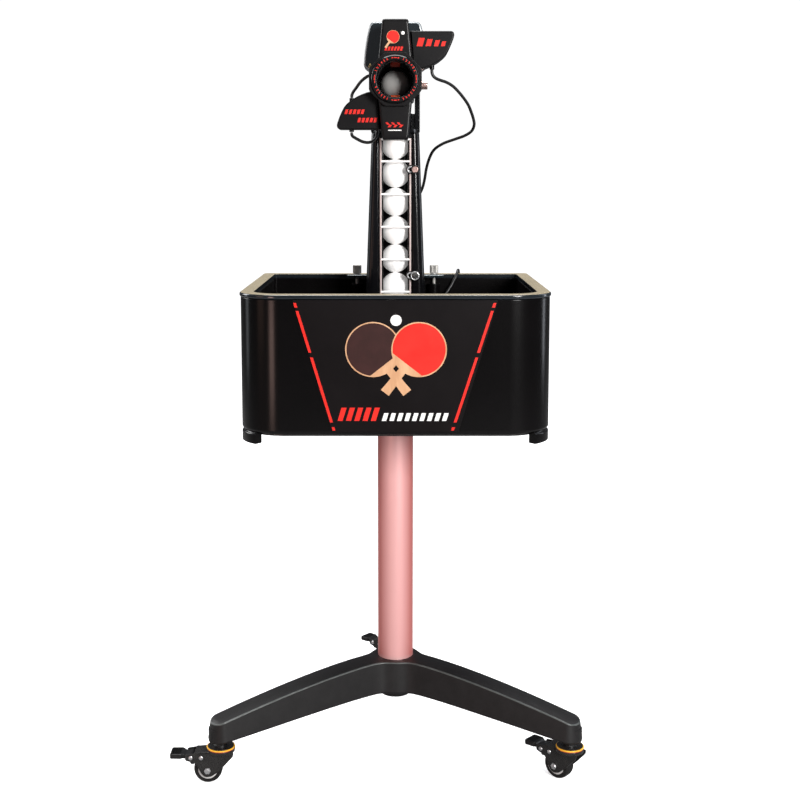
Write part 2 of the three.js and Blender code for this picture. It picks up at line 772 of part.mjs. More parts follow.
const caseTop = floorBottom - seat;
const caseBottom = carrierTop + seat;
add('feed_motor', cut(
  join(
    box([-gearCaseHalf, gearCaseHalf], [rotorAxis - gearCaseHalf, rotorAxis + gearCaseHalf],
      [caseBottom, caseTop]),
    rodX(gearMotorRadius, 0, gearCaseHalf + gearMotorLength,
      rotorAxis, (caseBottom + caseTop) / 2),
  ),
  rodZ(spindleRadius + spindleGap, caseBottom + overrun, caseTop + overrun,
    0, rotorAxis, smallSides),
), motorSteel);

// Tower: a tapered hollow moulding with the ball channel down its front
const towerHalf = (z) =>
  towerTopHalf + ((towerFootHalf - towerTopHalf) * (towerTop - z)) / (towerTop - towerBottom);

function towerRing(inset, z) {
  const half = towerHalf(z) - inset;
  const front = towerFront + inset;
  const rear = towerRear - inset;
  const side = [
    [half - towerEdge, front], [half - towerEdge / 3, front + towerEdge / 3],
    [half, front + towerEdge], [half, rear - towerRearEdge], [half - towerRearEdge, rear],
  ];
  const other = side.map(([x, y]) => [-x, y]).reverse();
  return [...side, ...other].map(([x, y]) => new THREE.Vector3(x, y, z));
}

const ringTop = lowestBall - Math.sqrt(ballRadius ** 2 - ringRadius ** 2) - seat;
const slotHigh = towerTop + overrun;
const slotLow = channelBottom - overrun;
const lipFace = towerFront + 2 * wireRadius + seat + wireRadius / 3;
const sweepAxis = ballAxis + tableRadius + seat + rollerRadius;
const towerShell = cut(
  loft([towerRing(0, towerBottom), towerRing(0, towerTop)]),
  loft([towerRing(towerWall, towerBottom - overrun), towerRing(towerWall, roofBottom)]),
);
const channel = join(
  box([-channelHalf, channelHalf], [towerFront + seat, ballAxis], [channelBottom, roofBottom + seat]),
  rodZ(boreRadius + boreWall, channelBottom, roofBottom + seat, 0, ballAxis),
);
const holdRing = cut(
  rodZ(boreRadius + seat, ringTop - ringHeight, ringTop, 0, ballAxis),
  rodZ(ringRadius, ringTop - 2 * ringHeight, ringTop + ringHeight, 0, ballAxis),
);
const glands = [headLeadPoints[headLeadPoints.length - 1], binLeadPoints[0]].map(([x, , z]) =>
  rodY(glandRadius, towerRear - towerWall, towerRear + glandLength, x, z, smallSides));
const latchHeights = latchDrops.map((drop) => towerTop - drop);
const towerOpen = cut(
  join(towerShell, common(channel, loft([towerRing(0, towerBottom), towerRing(0, towerTop)]))),
  box([-2 * towerFootHalf, 2 * towerFootHalf], [0, rotorAxis + pitRadius],
    [binBottom, channelBottom]),
  rodZ(boreRadius, slotLow, slotHigh, 0, ballAxis),
  box([-slotHalf, slotHalf], [0, ballAxis], [slotLow, slotHigh]),
  box([-lipRecessHalf, lipRecessHalf], [0, lipFace], [slotLow, slotHigh]),
  rodZ(rollerRadius, roofBottom - overrun, slotHigh, 0, sweepAxis),
  ...latchHeights.map((z) => rodY(latchShank + seat, 0, towerFront + latchShankLength + seat,
    latchOffset, z, smallSides)),
);
add('tower_housing', join(towerOpen, holdRing, ...glands), towerBlack);

// Wire cage over the slot, held by two turn latches
const railTop = towerTop - railDrop;
const railBottom = channelBottom + railFoot;
const topRung = towerTop - rungDrop;
const rungCount = Math.floor((topRung - railBottom) / rungPitch) + 1;
const rails = [-railOffset, railOffset].map((x) =>
  rodZ(wireRadius, railBottom, railTop, x, lipFace - wireRadius - seat, wireSides));
const rungHeights = [
  railTop - wireRadius, ...Array.from({ length: rungCount }, (_, i) => topRung - i * rungPitch),
];
const rungs = rungHeights.map((z) =>
  rodX(wireRadius, -railOffset, railOffset, lipFace - wireRadius - seat, z, wireSides));
add('ball_cage', join(...rails, ...rungs), chrome);

const latchBack = towerFront - seat;
const latchFront = latchBack - latchPlate;
['upper', 'lower'].forEach((name, i) => {
  const radius = latchKnobRadii[i];
  const z = latchHeights[i];
  const tongue = prism('y', [
    ...arc(latchOffset, z, latchPlateRadius, -90, 90, 6),
    ...arc(railOffset, z, latchPlateRadius, 90, 270, 6),
  ], latchFront, latchBack);
  const knob = turned([
    [0, 0], [radius, 0], [radius, latchKnobLength - knobEdge],
    [radius - knobEdge, latchKnobLength], [0, latchKnobLength],
  ], smallSides).rotateX(quarter).translate(latchOffset, latchFront + seat, z);
  const shank = rodY(latchShank, latchFront, towerFront + latchShankLength,
    latchOffset, z, smallSides);
  add(`cage_latch_${name}`, join(tongue, knob, shank), i === 0 ? copper : chrome);
});

// Balls queued in the channel
const ball = (x, y, z) =>
  new THREE.SphereGeometry(ballRadius, smallSides, ballRows).rotateX(quarter).translate(x, y, z);
const ballCount = Math.floor((towerTop - lowestBall) / ballPitch) + 1;
for (let i = 0; i < ballCount; i += 1) {
  add(`ball_${i + 1}`, ball(0, ballAxis, lowestBall + i * ballPitch), ballWhite);
}

// Clamp bracket on the back of the tower and its thumbscrews
const bracketTop = rimTop - seat;
const bracketBottom = bracketTop - bracketThick;
const barRear = innerRear - leadRadius / 2;
const barFront = barRear - bracketBar;
const barRadius = bracketBar / 2;
const bracketPlate = join(
  prism('z', [
    ...arc(bracketHalf - barRadius, barFront + barRadius, barRadius, -90, 90, 8),
    ...arc(barRadius - bracketHalf, barFront + barRadius, barRadius, 90, 270, 8),
  ], bracketBottom, bracketTop),
  box([-bracketArmHalf, bracketArmHalf], [towerRear + seat, barRear], [bracketBottom, bracketTop]),
  box([-bracketArmHalf, bracketArmHalf], [towerRear + seat, towerRear + seat + bracketThick],
    [bracketTop - bracketTab, bracketTop]),
);
add('clamp_bracket', cut(bracketPlate, ...[-1, 1].map((side) =>
  rodZ(screwRadius + seat, bracketBottom - overrun, bracketTop + overrun,
    side * screwOffset, screwY, smallSides))), headGloss);

[['left', -1], ['right', 1]].forEach(([name, side]) => {
  const bottom = bracketTop + seat;
  const head = turned([
    [0, bottom], [screwHeadRadius, bottom], [screwHeadRadius, bottom + screwHeadHeight - knobEdge],
    [screwHeadRadius - knobEdge, bottom + screwHeadHeight], [0, bottom + screwHeadHeight],
  ], smallSides);
  add(`thumbscrew_${name}`, join(head, rod(screwRadius, bottom - screwLength, bottom + overrun,
    smallSides)).translate(side * screwOffset, screwY, 0), chrome);
});

// Sweep drive: turntable with the yoke, roller and motor
const yokeOuter = yokeInner + yokeThick;
function yokeArm(side) {
  const outline = [
    [ballAxis - yokeHalf, tableBottom], [ballAxis + yokeHalf, tableBottom],
    ...arc(ballAxis, headAxis, yokeHalf, 0, 180, 8),
  ];
  return prism('x', outline, Math.min(side * yokeInner, side * yokeOuter),
    Math.max(side * yokeInner, side * yokeOuter));
}
add('sweep_yoke', cut(
  join(
    rodZ(tableRadius, tableBottom, tableTop, 0, ballAxis, fineSides),
    rodZ(boreRadius + seat + guideWall, tableBottom, guideTop, 0, ballAxis),
    yokeArm(-1), yokeArm(1),
  ),
  rodZ(boreRadius + seat, tableBottom - overrun, guideTop + overrun, 0, ballAxis),
  rodX(trunnionRadius + seat, -yokeOuter - overrun, -yokeInner + overrun,
    ballAxis, headAxis, smallSides),
  rodX(knobShank + seat, yokeInner - overrun, yokeOuter + overrun,
    ballAxis, headAxis, smallSides),
), headGloss);

const motorTop = roofBottom - seat;
add('sweep_motor', rodZ(sweepMotorRadius, motorTop - sweepMotorLength, motorTop, 0, sweepAxis),
  motorSteel);
add('sweep_roller', join(
  rod(rollerRadius, tableBottom, tableTop, smallSides),
  rod(sweepShaft, motorTop + seat, tableBottom + seat, smallSides),
).translate(0, sweepAxis, 0), rubberBlack);

// Tilting elbow: the ball bend, the bearing ring for the barrel and a trunnion
const tilting = new THREE.Group();
tilting.position.set(0, 0, headAxis);
robot.add(tilting);

const bendPath = [
  [0, ballAxis, -elbowBottom - overrun],
  ...arc(ballAxis - bendRadius, -bendRadius, bendRadius, 0, 90, 6).map(([y, z]) => [0, y, z]),
  [0, journalEnd - overrun, 0],
].map((point) => new THREE.Vector3(...point));
const elbowBlock = prism('x', [
  [journalEnd + overrun, -elbowBottom], [elbowRear - elbowChamfer / 2, -elbowBottom],
  [elbowRear, elbowChamfer / 2 - elbowBottom], [elbowRear, elbowTop - elbowChamfer],
  [elbowRear - elbowChamfer, elbowTop], [journalEnd + overrun, elbowTop],
], -elbowHalf, elbowHalf);
add('elbow', cut(
  join(elbowBlock, rodY(elbowRing, elbowFace, elbowRingEnd, 0, 0),
    rodX(trunnionRadius, -yokeOuter, -elbowHalf + overrun, ballAxis, 0, smallSides)),
  tube(bendPath, channelRadius, bendSteps, roundSides),
  rodY(barrelRadius + journalGap, elbowFace - overrun, journalEnd, 0, 0),
  rodX(knobShank + seat, elbowHalf - overrun, elbowHalf + overrun, ballAxis, 0, smallSides),
), headBlack, tilting);

const knobFace = yokeOuter + seat;
add('tilt_knob', join(
  turned([
    [0, 0], [knobRadius - knobEdge, 0], [knobRadius, knobEdge],
    [knobRadius, knobLength - knobEdge], [knobRadius - knobEdge, knobLength], [0, knobLength],
  ], smallSides).rotateY(quarter).translate(knobFace, ballAxis, 0),
  rodX(knobShank, elbowHalf - overrun + seat, knobFace + seat, ballAxis, 0, smallSides),
), copper, tilting);

function housingOutline(inset) {
  const side = housingOutlineShares.map(([across, up]) =>
    [across * housingHalf - inset, up * housingTop - (up === 1 ? inset : 0)]);
  return [...side, ...side.map(([x, z]) => [-x, z]).reverse()];
}
const housingFloor = housingOutlineShares[0][1] * housingTop;
add('head_cover_rear', cut(
  prism('y', housingOutline(0), elbowFace, housingRear),
  prism('y', housingOutline(housingWall), elbowFace + housingWall, housingRear - housingWall),
  box([seat - elbowHalf * 1.3, elbowHalf * 1.3 - seat],
    [elbowFace + housingWall, housingRear - housingWall], [0, housingFloor + housingWall]),
  rodY(elbowRing + seat, 0, elbowRingEnd + seat, 0, 0),
  box([-elbowHalf - seat, elbowHalf + seat], [journalEnd, elbowRear], [0, elbowTop + seat]),
), headGloss, tilting);

// Spinning head: barrel, dial, covers, wings, motors and friction wheels
const head = new THREE.Group();
head.position.set(0, 0, headAxis);
robot.add(head);

const flangeBack = flangeFront + flangeThick;
const octagon = circle(flangeFlat / Math.cos(Math.PI / 8), 8).map(([x, z]) => {
  const turn = Math.PI / 8;
  return [x * Math.cos(turn) - z * Math.sin(turn), x * Math.sin(turn) + z * Math.cos(turn)];
});
const windows = [-1, 1].map((side) =>
  box([-spinHalfWidth - windowGap, spinHalfWidth + windowGap],
    [wheelPlane - windowHalfLength, wheelPlane + windowHalfLength],
    [Math.min(0, side * elbowRing), Math.max(0, side * elbowRing)]));
const windowCore = rodY(barrelBore - 2 * windowGap, flangeBack, coverRear, 0, 0);
add('barrel', join(
  cut(
    join(prism('y', octagon, flangeFront, flangeBack),
      rodY(barrelRadius, flangeFront, journalEnd - seat, 0, 0, fineSides)),
    rodY(barrelBore, flangeFront - overrun, journalEnd + overrun, 0, 0, fineSides),
    ...windows,
  ),
  rodX(headGland, -barrelRadius - overrun, -barrelRadius + windowGap,
    shortLeadPoints[0][1], shortLeadPoints[0][2] - headAxis, smallSides),
), headBlack, head);

const dialBack = flangeFront - seat;
add('spin_dial', turned([
  [barrelBore, dialFront + dialEdge], [barrelBore + dialEdge, dialFront],
  [dialRadius - dialEdge, dialFront], [dialRadius, dialFront + dialEdge],
  [dialRadius, dialBack], [barrelBore, dialBack], [barrelBore, dialFront + dialEdge],
], fineSides).rotateX(-quarter), headBlack, head);

function coverBlock(inset) {
  const front = prism('y', [
    [coverRootHalf - inset, coverRoot - overrun], [coverRootHalf - inset, coverTaper / 2],
    [coverTopHalf - inset, coverReach - coverBevel / 2 - inset],
    [coverTopHalf - coverBevel / 2 - inset, coverReach - inset],
    [coverBevel / 2 + inset - coverTopHalf, coverReach - inset],
    [inset - coverTopHalf, coverReach - coverBevel / 2 - inset],
    [inset - coverRootHalf, coverTaper / 2], [inset - coverRootHalf, coverRoot - overrun],
  ], coverFront + inset, coverRear - inset);
  const [back, down] = coverRearSlope;
  const side = prism('x', [
    [coverFront + inset, coverRoot - (inset ? 2 * overrun : 0)],
    [coverRear - inset, coverRoot - (inset ? 2 * overrun : 0)],
    [coverRear - inset, coverReach - down - inset / 2],
    [coverRear - back - inset / 2, coverReach - inset],
    [coverFront + coverBevel + inset, coverReach - inset],
    [coverFront + inset, coverReach - coverBevel - inset],
  ], -coverRootHalf, coverRootHalf);
  return common(front, side);
}
const cover = cut(coverBlock(0), coverBlock(coverWall),
  rodY(barrelRadius + seat, coverFront - overrun, coverRear + overrun, 0, 0, fineSides),
  rodX(shaftHole, 0, coverRootHalf + overrun, wheelPlane, spinOffset, smallSides));

function wing(glandPlaces) {
  const outline = (inset, open) => wingOutlineShares.map(([along, up]) => {
    const x = wingInner + along * wingLength;
    const inner = along === 0;
    const leanX = along > 1 / 2 ? -inset : 0;
    const leanZ = up > 1 / 2 && along < 1 ? -inset : inset;
    return [inner ? x - open : x + leanX, up * wingHeight + (inset ? leanZ : 0)];
  });
  const shell = cut(prism('y', outline(0, 0), wingFront, wingRear),
    prism('y', outline(wingWall, overrun), wingFront + wingWall, wingRear - wingWall));
  const stubs = glandPlaces.map(([x, low, high]) =>
    rodZ(headGland, low, high, x, wheelPlane, smallSides));
  return join(shell, ...stubs);
}

const motor = join(
  rodX(motorRadius, motorStart, motorStart + motorLength, wheelPlane, spinOffset),
  rodX(motorRadius / 2, motorStart + motorLength - seat, motorStart + motorLength + motorCap,
    wheelPlane, spinOffset, smallSides),
  rodX(motorShaft, -spinHalfWidth, motorStart + seat, wheelPlane, spinOffset, smallSides),
);

const spinSide = [
  [spinBore, spinHalfWidth], [spinHub, spinHalfWidth], [spinHub, spinWeb / 2],
  [spinRadius - spinTyre, spinWeb / 2], [spinRadius - spinTyre, spinHalfWidth],
  [spinRadius, spinHalfWidth],
];
const spinWheel = turned([
  ...spinSide, ...spinSide.map(([r, a]) => [r, -a]).reverse(), spinSide[0],
], wheelSides).rotateY(quarter).translate(0, wheelPlane, spinOffset);

const [exitX, , exitZ] = headLeadPoints[0];
const [entryX, , entryZ] = shortLeadPoints[shortLeadPoints.length - 1];
const [loopX, , loopZ] = loopLeadPoints[0];
const lower = new THREE.Group();
lower.rotation.y = Math.PI;
head.add(lower);
const upperWing = wing([[exitX, exitZ - headAxis + leadGap, exitZ - headAxis + glandLength]]);
const lowerWing = wing([
  [-entryX, headAxis - entryZ + leadGap, headAxis - entryZ + glandLength],
  [-loopX, headAxis - loopZ - overrun, headAxis - loopZ - leadGap],
]);
[['upper', head, upperWing], ['lower', lower, lowerWing]].forEach(([name, place, wingForm]) => {
  add(`${name}_cover`, cover, headBlack, place);
  add(`${name}_wing`, wingForm, headBlack, place);
  add(`${name}_motor`, motor, motorSteel, place);
  add(`${name}_friction_wheel`, spinWheel, tyreRed, place);
});

add('ball_in_barrel', ball(0, barrelBallPlace, -barrelBallDrop), ballWhite, head);

// Control box with a rocker switch and a power jack
const boxFront = binRear + seat;
const boxBack = boxFront + boxDepth;
const boxBottom = binBottom + boxRise;
const boxTop = boxBottom + boxHeight;
const rockerX = boxLeft + boxWidth - rockerInset;
const rockerZ = boxBottom + boxHeight / 2;
const jackX = boxLeft + rockerInset;
const pocketDepth = rockerDepth + rockerGap;
const [leadEndX, leadEndY, leadEndZ] = binLeadPoints[binLeadPoints.length - 1];
add('control_box', join(
  cut(
    prism('x', [
      [boxFront, boxBottom], [boxBack - boxEdge, boxBottom], [boxBack, boxBottom + boxEdge],
      [boxBack, boxTop - boxEdge], [boxBack - boxEdge, boxTop], [boxFront, boxTop],
    ], boxLeft, boxLeft + boxWidth),
    box([rockerX - rockerWidth / 2 - rockerGap, rockerX + rockerWidth / 2 + rockerGap],
      [boxBack - pocketDepth, boxBack + overrun],
      [rockerZ - rockerHeight / 2 - rockerGap, rockerZ + rockerHeight / 2 + rockerGap]),
    rodY(jackRadius, boxBack - jackDepth, boxBack + overrun, jackX, rockerZ, smallSides),
  ),
  rodY(jackPin, boxBack - jackDepth - jackPin, boxBack - jackPin, jackX, rockerZ, leadSides),
  rodZ(glandRadius, boxTop - overrun, leadEndZ - seat, leadEndX, leadEndY, smallSides),
), headBlack);

const tiltTan = Math.tan(THREE.MathUtils.degToRad(rockerTilt));
const halfRocker = rockerHeight / 2;
const rockerForm = prism('x', [
  [-rockerDepth / 2, -halfRocker + rockerGap], [rockerDepth / 2, -halfRocker],
  [rockerDepth / 2 - halfRocker * tiltTan / 2, 0], [rockerDepth / 2, halfRocker],
  [-rockerDepth / 2, halfRocker - rockerGap],
], -rockerWidth / 2, rockerWidth / 2).rotateX(THREE.MathUtils.degToRad(-rockerTilt / 2));
add('power_switch', rockerForm.translate(rockerX, boxBack - rockerDepth / 2, rockerZ), rubberBlack);

// Leads between the housings
const lead = (route, steps) =>
  tube(route.map((point) => new THREE.Vector3(...point)), leadRadius, steps);
add('head_lead_right', lead(headLeadPoints, 34), rubberBlack);
add('head_lead_left_upper', lead(shortLeadPoints, 8), rubberBlack);
add('head_lead_left_lower', lead(loopLeadPoints, 13), rubberBlack);
add('bin_lead', lead(binLeadPoints, 24), rubberBlack);

// The origin is on the floor, under the middle of the whole robot
const bounds = new THREE.Box3().setFromObject(robot);
const middle = bounds.getCenter(new THREE.Vector3());
robot.position.set(-middle.x, -middle.y, 0);

export default robot;
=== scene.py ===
from math import cos, pi, radians, sin, sqrt

import bmesh
import bpy
import numpy as np
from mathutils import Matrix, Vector


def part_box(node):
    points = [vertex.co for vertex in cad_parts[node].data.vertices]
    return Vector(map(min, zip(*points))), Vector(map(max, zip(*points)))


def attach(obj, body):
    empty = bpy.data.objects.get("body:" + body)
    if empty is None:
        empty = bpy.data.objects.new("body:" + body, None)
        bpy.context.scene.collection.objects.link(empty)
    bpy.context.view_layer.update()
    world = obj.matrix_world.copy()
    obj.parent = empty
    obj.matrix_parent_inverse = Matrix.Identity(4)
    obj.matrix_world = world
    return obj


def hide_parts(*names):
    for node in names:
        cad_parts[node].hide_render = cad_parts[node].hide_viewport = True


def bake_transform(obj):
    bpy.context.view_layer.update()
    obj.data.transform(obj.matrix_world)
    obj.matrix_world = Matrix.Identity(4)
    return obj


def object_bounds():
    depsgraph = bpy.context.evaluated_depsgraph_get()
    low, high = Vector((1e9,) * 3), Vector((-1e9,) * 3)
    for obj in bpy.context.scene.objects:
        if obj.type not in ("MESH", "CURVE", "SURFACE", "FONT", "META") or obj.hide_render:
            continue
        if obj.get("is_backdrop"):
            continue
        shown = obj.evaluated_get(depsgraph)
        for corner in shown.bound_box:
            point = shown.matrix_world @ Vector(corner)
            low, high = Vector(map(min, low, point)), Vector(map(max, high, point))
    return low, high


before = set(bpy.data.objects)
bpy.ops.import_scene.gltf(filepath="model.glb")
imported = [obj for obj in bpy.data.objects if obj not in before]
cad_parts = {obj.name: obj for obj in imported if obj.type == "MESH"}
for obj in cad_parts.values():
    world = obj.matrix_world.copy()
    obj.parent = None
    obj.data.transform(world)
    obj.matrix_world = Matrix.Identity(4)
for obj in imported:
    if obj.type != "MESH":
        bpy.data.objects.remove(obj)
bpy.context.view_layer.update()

# Table tennis robot, dressed for a studio picture. Shapes are worked out in millimetres
# from the column's axis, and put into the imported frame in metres.
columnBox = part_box("column_tube")
columnAxis = np.array([(columnBox[0].x + columnBox[1].x) / 2, (columnBox[0].y + columnBox[1].y) / 2, 0])
mm = 0.001


def linked(name, data):
    item = bpy.data.objects.new(name, data)
    bpy.context.scene.collection.objects.link(item)
    return item


# Camera: place from the column's axis, degrees down, then focal length and middle in pixels of the picture
view = {
    "place": (0.0022, -1.8133, 0.8094), "down": 6.539, "focal": 1308.98, "middle": (397, 324), "picture": 800,
    "sensor": 36,
}
camera = linked("view", bpy.data.cameras.new("view"))
bpy.context.scene.camera = camera
camera.location = Vector(columnAxis) + Vector(view["place"])
camera.rotation_euler = (radians(90 - view["down"]), 0, 0)
camera.data.sensor_width = view["sensor"]
camera.data.lens = view["focal"] * view["sensor"] / view["picture"]
camera.data.shift_x = 0.5 - view["middle"][0] / view["picture"]
camera.data.shift_y = view["middle"][1] / view["picture"] - 0.5
bpy.context.scene.view_settings.view_transform = "Standard"
print("camera set")


# Shared shader groups
def newGroup(name, inputs, outputs):
    group = bpy.data.node_groups.new(name, "ShaderNodeTree")
    for side, sockets in (("INPUT", inputs), ("OUTPUT", outputs)):
        for label, kind, value in sockets:
            socket = group.interface.new_socket(name=label, in_out=side, socket_type=f"NodeSocket{kind}")
            if value is not None:
                socket.default_value = value
    return group, group.nodes.new("NodeGroupInput").outputs, group.nodes.new("NodeGroupOutput").inputs


def noiseNode(group, source, detail, rough):
    noise = group.nodes.new("ShaderNodeTexNoise")
    noise.inputs["Detail"].default_value = detail
    noise.inputs["Roughness"].default_value = rough
    for socket in ("Vector", "Scale"):
        group.links.new(source[socket], noise.inputs[socket])
    return noise.outputs["Fac"]


def rangeNode(tree, value, fromLow, fromHigh, low, high):
    node = tree.nodes.new("ShaderNodeMapRange")
    node.inputs["From Min"].default_value = fromLow
    node.inputs["From Max"].default_value = fromHigh
    tree.links.new(value, node.inputs["Value"])
    for socket, end in (("To Min", low), ("To Max", high)):
        if isinstance(end, (int, float)):
            node.inputs[socket].default_value = end
        else:
            tree.links.new(end, node.inputs[socket])
    return node.outputs["Result"]


# A mix of two colours; the second is a socket or a plain tone.
def mixNode(tree, share, first, second):
    node = tree.nodes.new("ShaderNodeMix")
    node.data_type = "RGBA"
    tree.links.new(share, node.inputs["Factor"])
    tree.links.new(first, node.inputs["A"])
    if isinstance(second, tuple):
        node.inputs["B"].default_value = second
    else:
        tree.links.new(second, node.inputs["B"])
    return node.outputs["Result"]


def mottleGroup():  # colour drifts from one tone to another in soft patches
    tones = [("Tone", "Color", None), ("Other Tone", "Color", None)]
    group, source, target = newGroup(
        "mottle", [("Vector", "Vector", None), *tones, ("Scale", "Float", 30)], [("Color", "Color", None)])
    mask = rangeNode(group, noiseNode(group, source, 4, 0.55), 0.35, 0.65, 0, 1)
    group.links.new(mixNode(group, mask, source["Tone"], source["Other Tone"]), target["Color"])
    return group


def grainGroup():  # fine skin of the surface: roughness wanders and the height is a small noise
    group, source, target = newGroup(
        "grain",
        [("Vector", "Vector", None), ("Scale", "Float", 900), ("Smooth", "Float", 0.3), ("Rough", "Float", 0.5)],
        [("Roughness", "Float", None), ("Height", "Float", None)])
    fine = noiseNode(group, source, 6, 0.6)
    group.links.new(rangeNode(group, fine, 0.3, 0.7, source["Smooth"], source["Rough"]), target["Roughness"])
    group.links.new(fine, target["Height"])
    return group


groups = {"mottle": mottleGroup(), "grain": grainGroup()}

# Each finish: tone and other tone in thousandths, patch scale, grain scale, roughness from and to in hundredths,
# bump height in micrometres, metal, gloss
finishTable = {
    "castPaint": (4.2, 3.5, 3.8, 7.2, 6.4, 6.8, 60, 900, 42, 56, 100, 0, 0.4),
    # The crease finish is a painted highlight: a much lighter, glossier tone than the casting's paint
    "castCreaseHighlight": (50, 56, 54, 75, 82, 80, 90, 900, 34, 48, 40, 0, 0.5),
    "columnSatin": (760, 410, 400, 800, 440, 430, 25, 420, 38, 46, 6, 0.3, 0.5),
    "binPlastic": (1.8, 1.5, 1.6, 2.4, 2, 2.2, 14, 1300, 16, 24, 6, 0, 0.2),
    "rimTop": (280, 235, 150, 330, 275, 180, 12, 900, 22, 34, 4, 0, 0.5),
    "rimEdge": (8, 11, 14, 11, 15, 19, 12, 900, 12, 20, 4, 0, 0.5),
    "panelVinyl": (4, 3, 3.3, 5.6, 4.3, 4.7, 18, 2200, 38, 48, 10, 0, 0.08),
    "printRed": (620, 16, 10, 680, 22, 14, 40, 1800, 42, 55, 4, 0, 0.2),
    "printWhite": (800, 790, 780, 880, 870, 860, 40, 1800, 42, 55, 4, 0, 0.3),
    "printWood": (500, 270, 140, 620, 370, 210, 120, 1800, 42, 55, 4, 0, 0.3),
    "printDark": (26, 8, 7, 36, 11, 10, 40, 1800, 42, 55, 4, 0, 0.2),
    "towerGloss": (2.4, 2.4, 3, 3.4, 3.4, 4.2, 16, 1200, 10, 18, 4, 0, 0.35),
    "headPlastic": (4.2, 3.8, 4.2, 6.4, 6, 6.4, 22, 1900, 26, 36, 14, 0, 0.17),
    "housingGloss": (8, 13, 16, 13, 19, 23, 16, 1200, 7, 14, 4, 0, 1),
    # The pale edge finish is a painted highlight on dark gloss rims
    "paintedEdgeHighlight": (300, 340, 360, 420, 460, 480, 60, 1200, 10, 20, 4, 0, 0.8),
    "dialPlastic": (3.4, 3.1, 3.4, 4.8, 4.5, 4.8, 26, 2000, 24, 34, 10, 0, 0.18),
    "chrome": (800, 790, 780, 860, 850, 850, 60, 800, 10, 18, 2, 1, 0.5),
    "railSteel": (500, 410, 390, 560, 470, 450, 60, 500, 48, 58, 2, 0.3, 0.4),
    # The rung finish is a painted highlight: wire painted near white, with a glow, to stand in for its glints
    "rungPaintedGlint": (860, 850, 840, 900, 890, 880, 60, 500, 25, 35, 2, 0.2, 0.5),
    "zinc": (580, 580, 590, 680, 680, 690, 120, 900, 24, 38, 8, 1, 0.5),
    "satinNickel": (330, 320, 300, 410, 400, 380, 120, 900, 40, 52, 4, 0.6, 0.5),
    # A darkened copy of zinc: painted shade for the bright metal stems in the dim gap under the base
    "stemSteel": (100, 100, 100, 160, 160, 160, 120, 900, 24, 38, 8, 1, 0.5),
    "hubRing": (660, 650, 640, 760, 750, 740, 60, 900, 14, 24, 2, 0.2, 0.5),
    "copper": (560, 360, 320, 640, 440, 400, 90, 900, 24, 36, 4, 1, 0.5),
    "gold": (700, 500, 220, 780, 580, 280, 90, 900, 20, 32, 4, 1, 0.5),
    "forkSteel": (16, 15, 15, 28, 27, 26, 70, 1000, 22, 36, 16, 0.3, 0.5),
    "raceSeal": (900, 420, 20, 960, 520, 50, 60, 1200, 35, 48, 6, 0, 0.5),
    "raceRed": (400, 30, 20, 480, 50, 30, 60, 1200, 35, 48, 6, 0, 0.5),
    "tyreRubber": (6, 5.5, 5.5, 11, 10, 10, 80, 1500, 50, 70, 30, 0, 0.3),
    "pedalPlastic": (6, 5.5, 6, 10, 9.5, 10, 50, 1600, 26, 40, 12, 0, 0.4),
    "ballPlastic": (880, 870, 855, 910, 900, 890, 30, 1500, 42, 56, 10, 0, 0.3),
    # The loaded ball's finish is a painted shade: the same white ball, made grey as in the bore's shade
    "ballShade": (330, 320, 310, 360, 350, 340, 30, 1500, 50, 62, 10, 0, 0.2),
    "spinRubber": (850, 130, 30, 660, 70, 25, 60, 1300, 50, 70, 30, 0, 0.3),
    # A darker copy of the spin rubber: painted shade for the upper tyre
    "spinRubberPaintedShade": (260, 22, 10, 200, 16, 8, 60, 1300, 50, 70, 30, 0, 0.3),
    "motorSteel": (420, 430, 440, 520, 530, 540, 50, 900, 28, 42, 8, 1, 0.5),
    "rotorPlastic": (85, 90, 105, 110, 115, 130, 24, 1400, 32, 46, 12, 0, 0.4),
    "leadJacket": (5, 4.8, 5, 9, 8.5, 9, 60, 2200, 32, 48, 14, 0, 0.4),
}
paintedGlow = {"ballPlastic": 0.22, "rungPaintedGlint": 0.25}  # painted light: these white parts glow a little in their own tone, though they are no lamps
grainStretch = {"columnSatin": (1, 1, 0.03), "printWood": (1, 1, 0.2)}


def makeFinish(name, row):
    tone, other = ((*(part / 1000 for part in row[i : i + 3]), 1) for i in (0, 3))
    patch, fineness, smooth, rough, height, metal, gloss = row[6:]
    material = bpy.data.materials.new(name)
    material.use_nodes = True
    tree = material.node_tree
    link, shader = tree.links.new, tree.nodes["Principled BSDF"]
    mottle, grain = (tree.nodes.new("ShaderNodeGroup") for _ in range(2))
    mottle.node_tree, grain.node_tree = groups["mottle"], groups["grain"]
    bump = tree.nodes.new("ShaderNodeBump")
    for node, values in (
        (shader, {"Metallic": metal, "Specular IOR Level": gloss, "Emission Color": tone,
                  "Emission Strength": paintedGlow.get(name, 0)}),
        (mottle, {"Tone": tone, "Other Tone": other, "Scale": patch}),
        (grain, {"Scale": fineness, "Smooth": smooth / 100, "Rough": rough / 100}),
        (bump, {"Distance": height / 1000 * mm}),
    ):
        for socket, value in values.items():
            node.inputs[socket].default_value = value
    place = tree.nodes.new("ShaderNodeTexCoord").outputs["Object"]
    if name in grainStretch:
        mapping = tree.nodes.new("ShaderNodeMapping")
        mapping.inputs["Scale"].default_value = grainStretch[name]
        link(place, mapping.inputs["Vector"])
        place = mapping.outputs["Vector"]
    for source, target in (
        (place, mottle.inputs["Vector"]), (mottle.outputs["Color"], shader.inputs["Base Color"]),
        (place, grain.inputs["Vector"]), (grain.outputs["Roughness"], shader.inputs["Roughness"]),
        (grain.outputs["Height"], bump.inputs["Height"]),
        (bump.outputs["Normal"], shader.inputs["Normal"]),
    ):
        link(source, target)
    return material


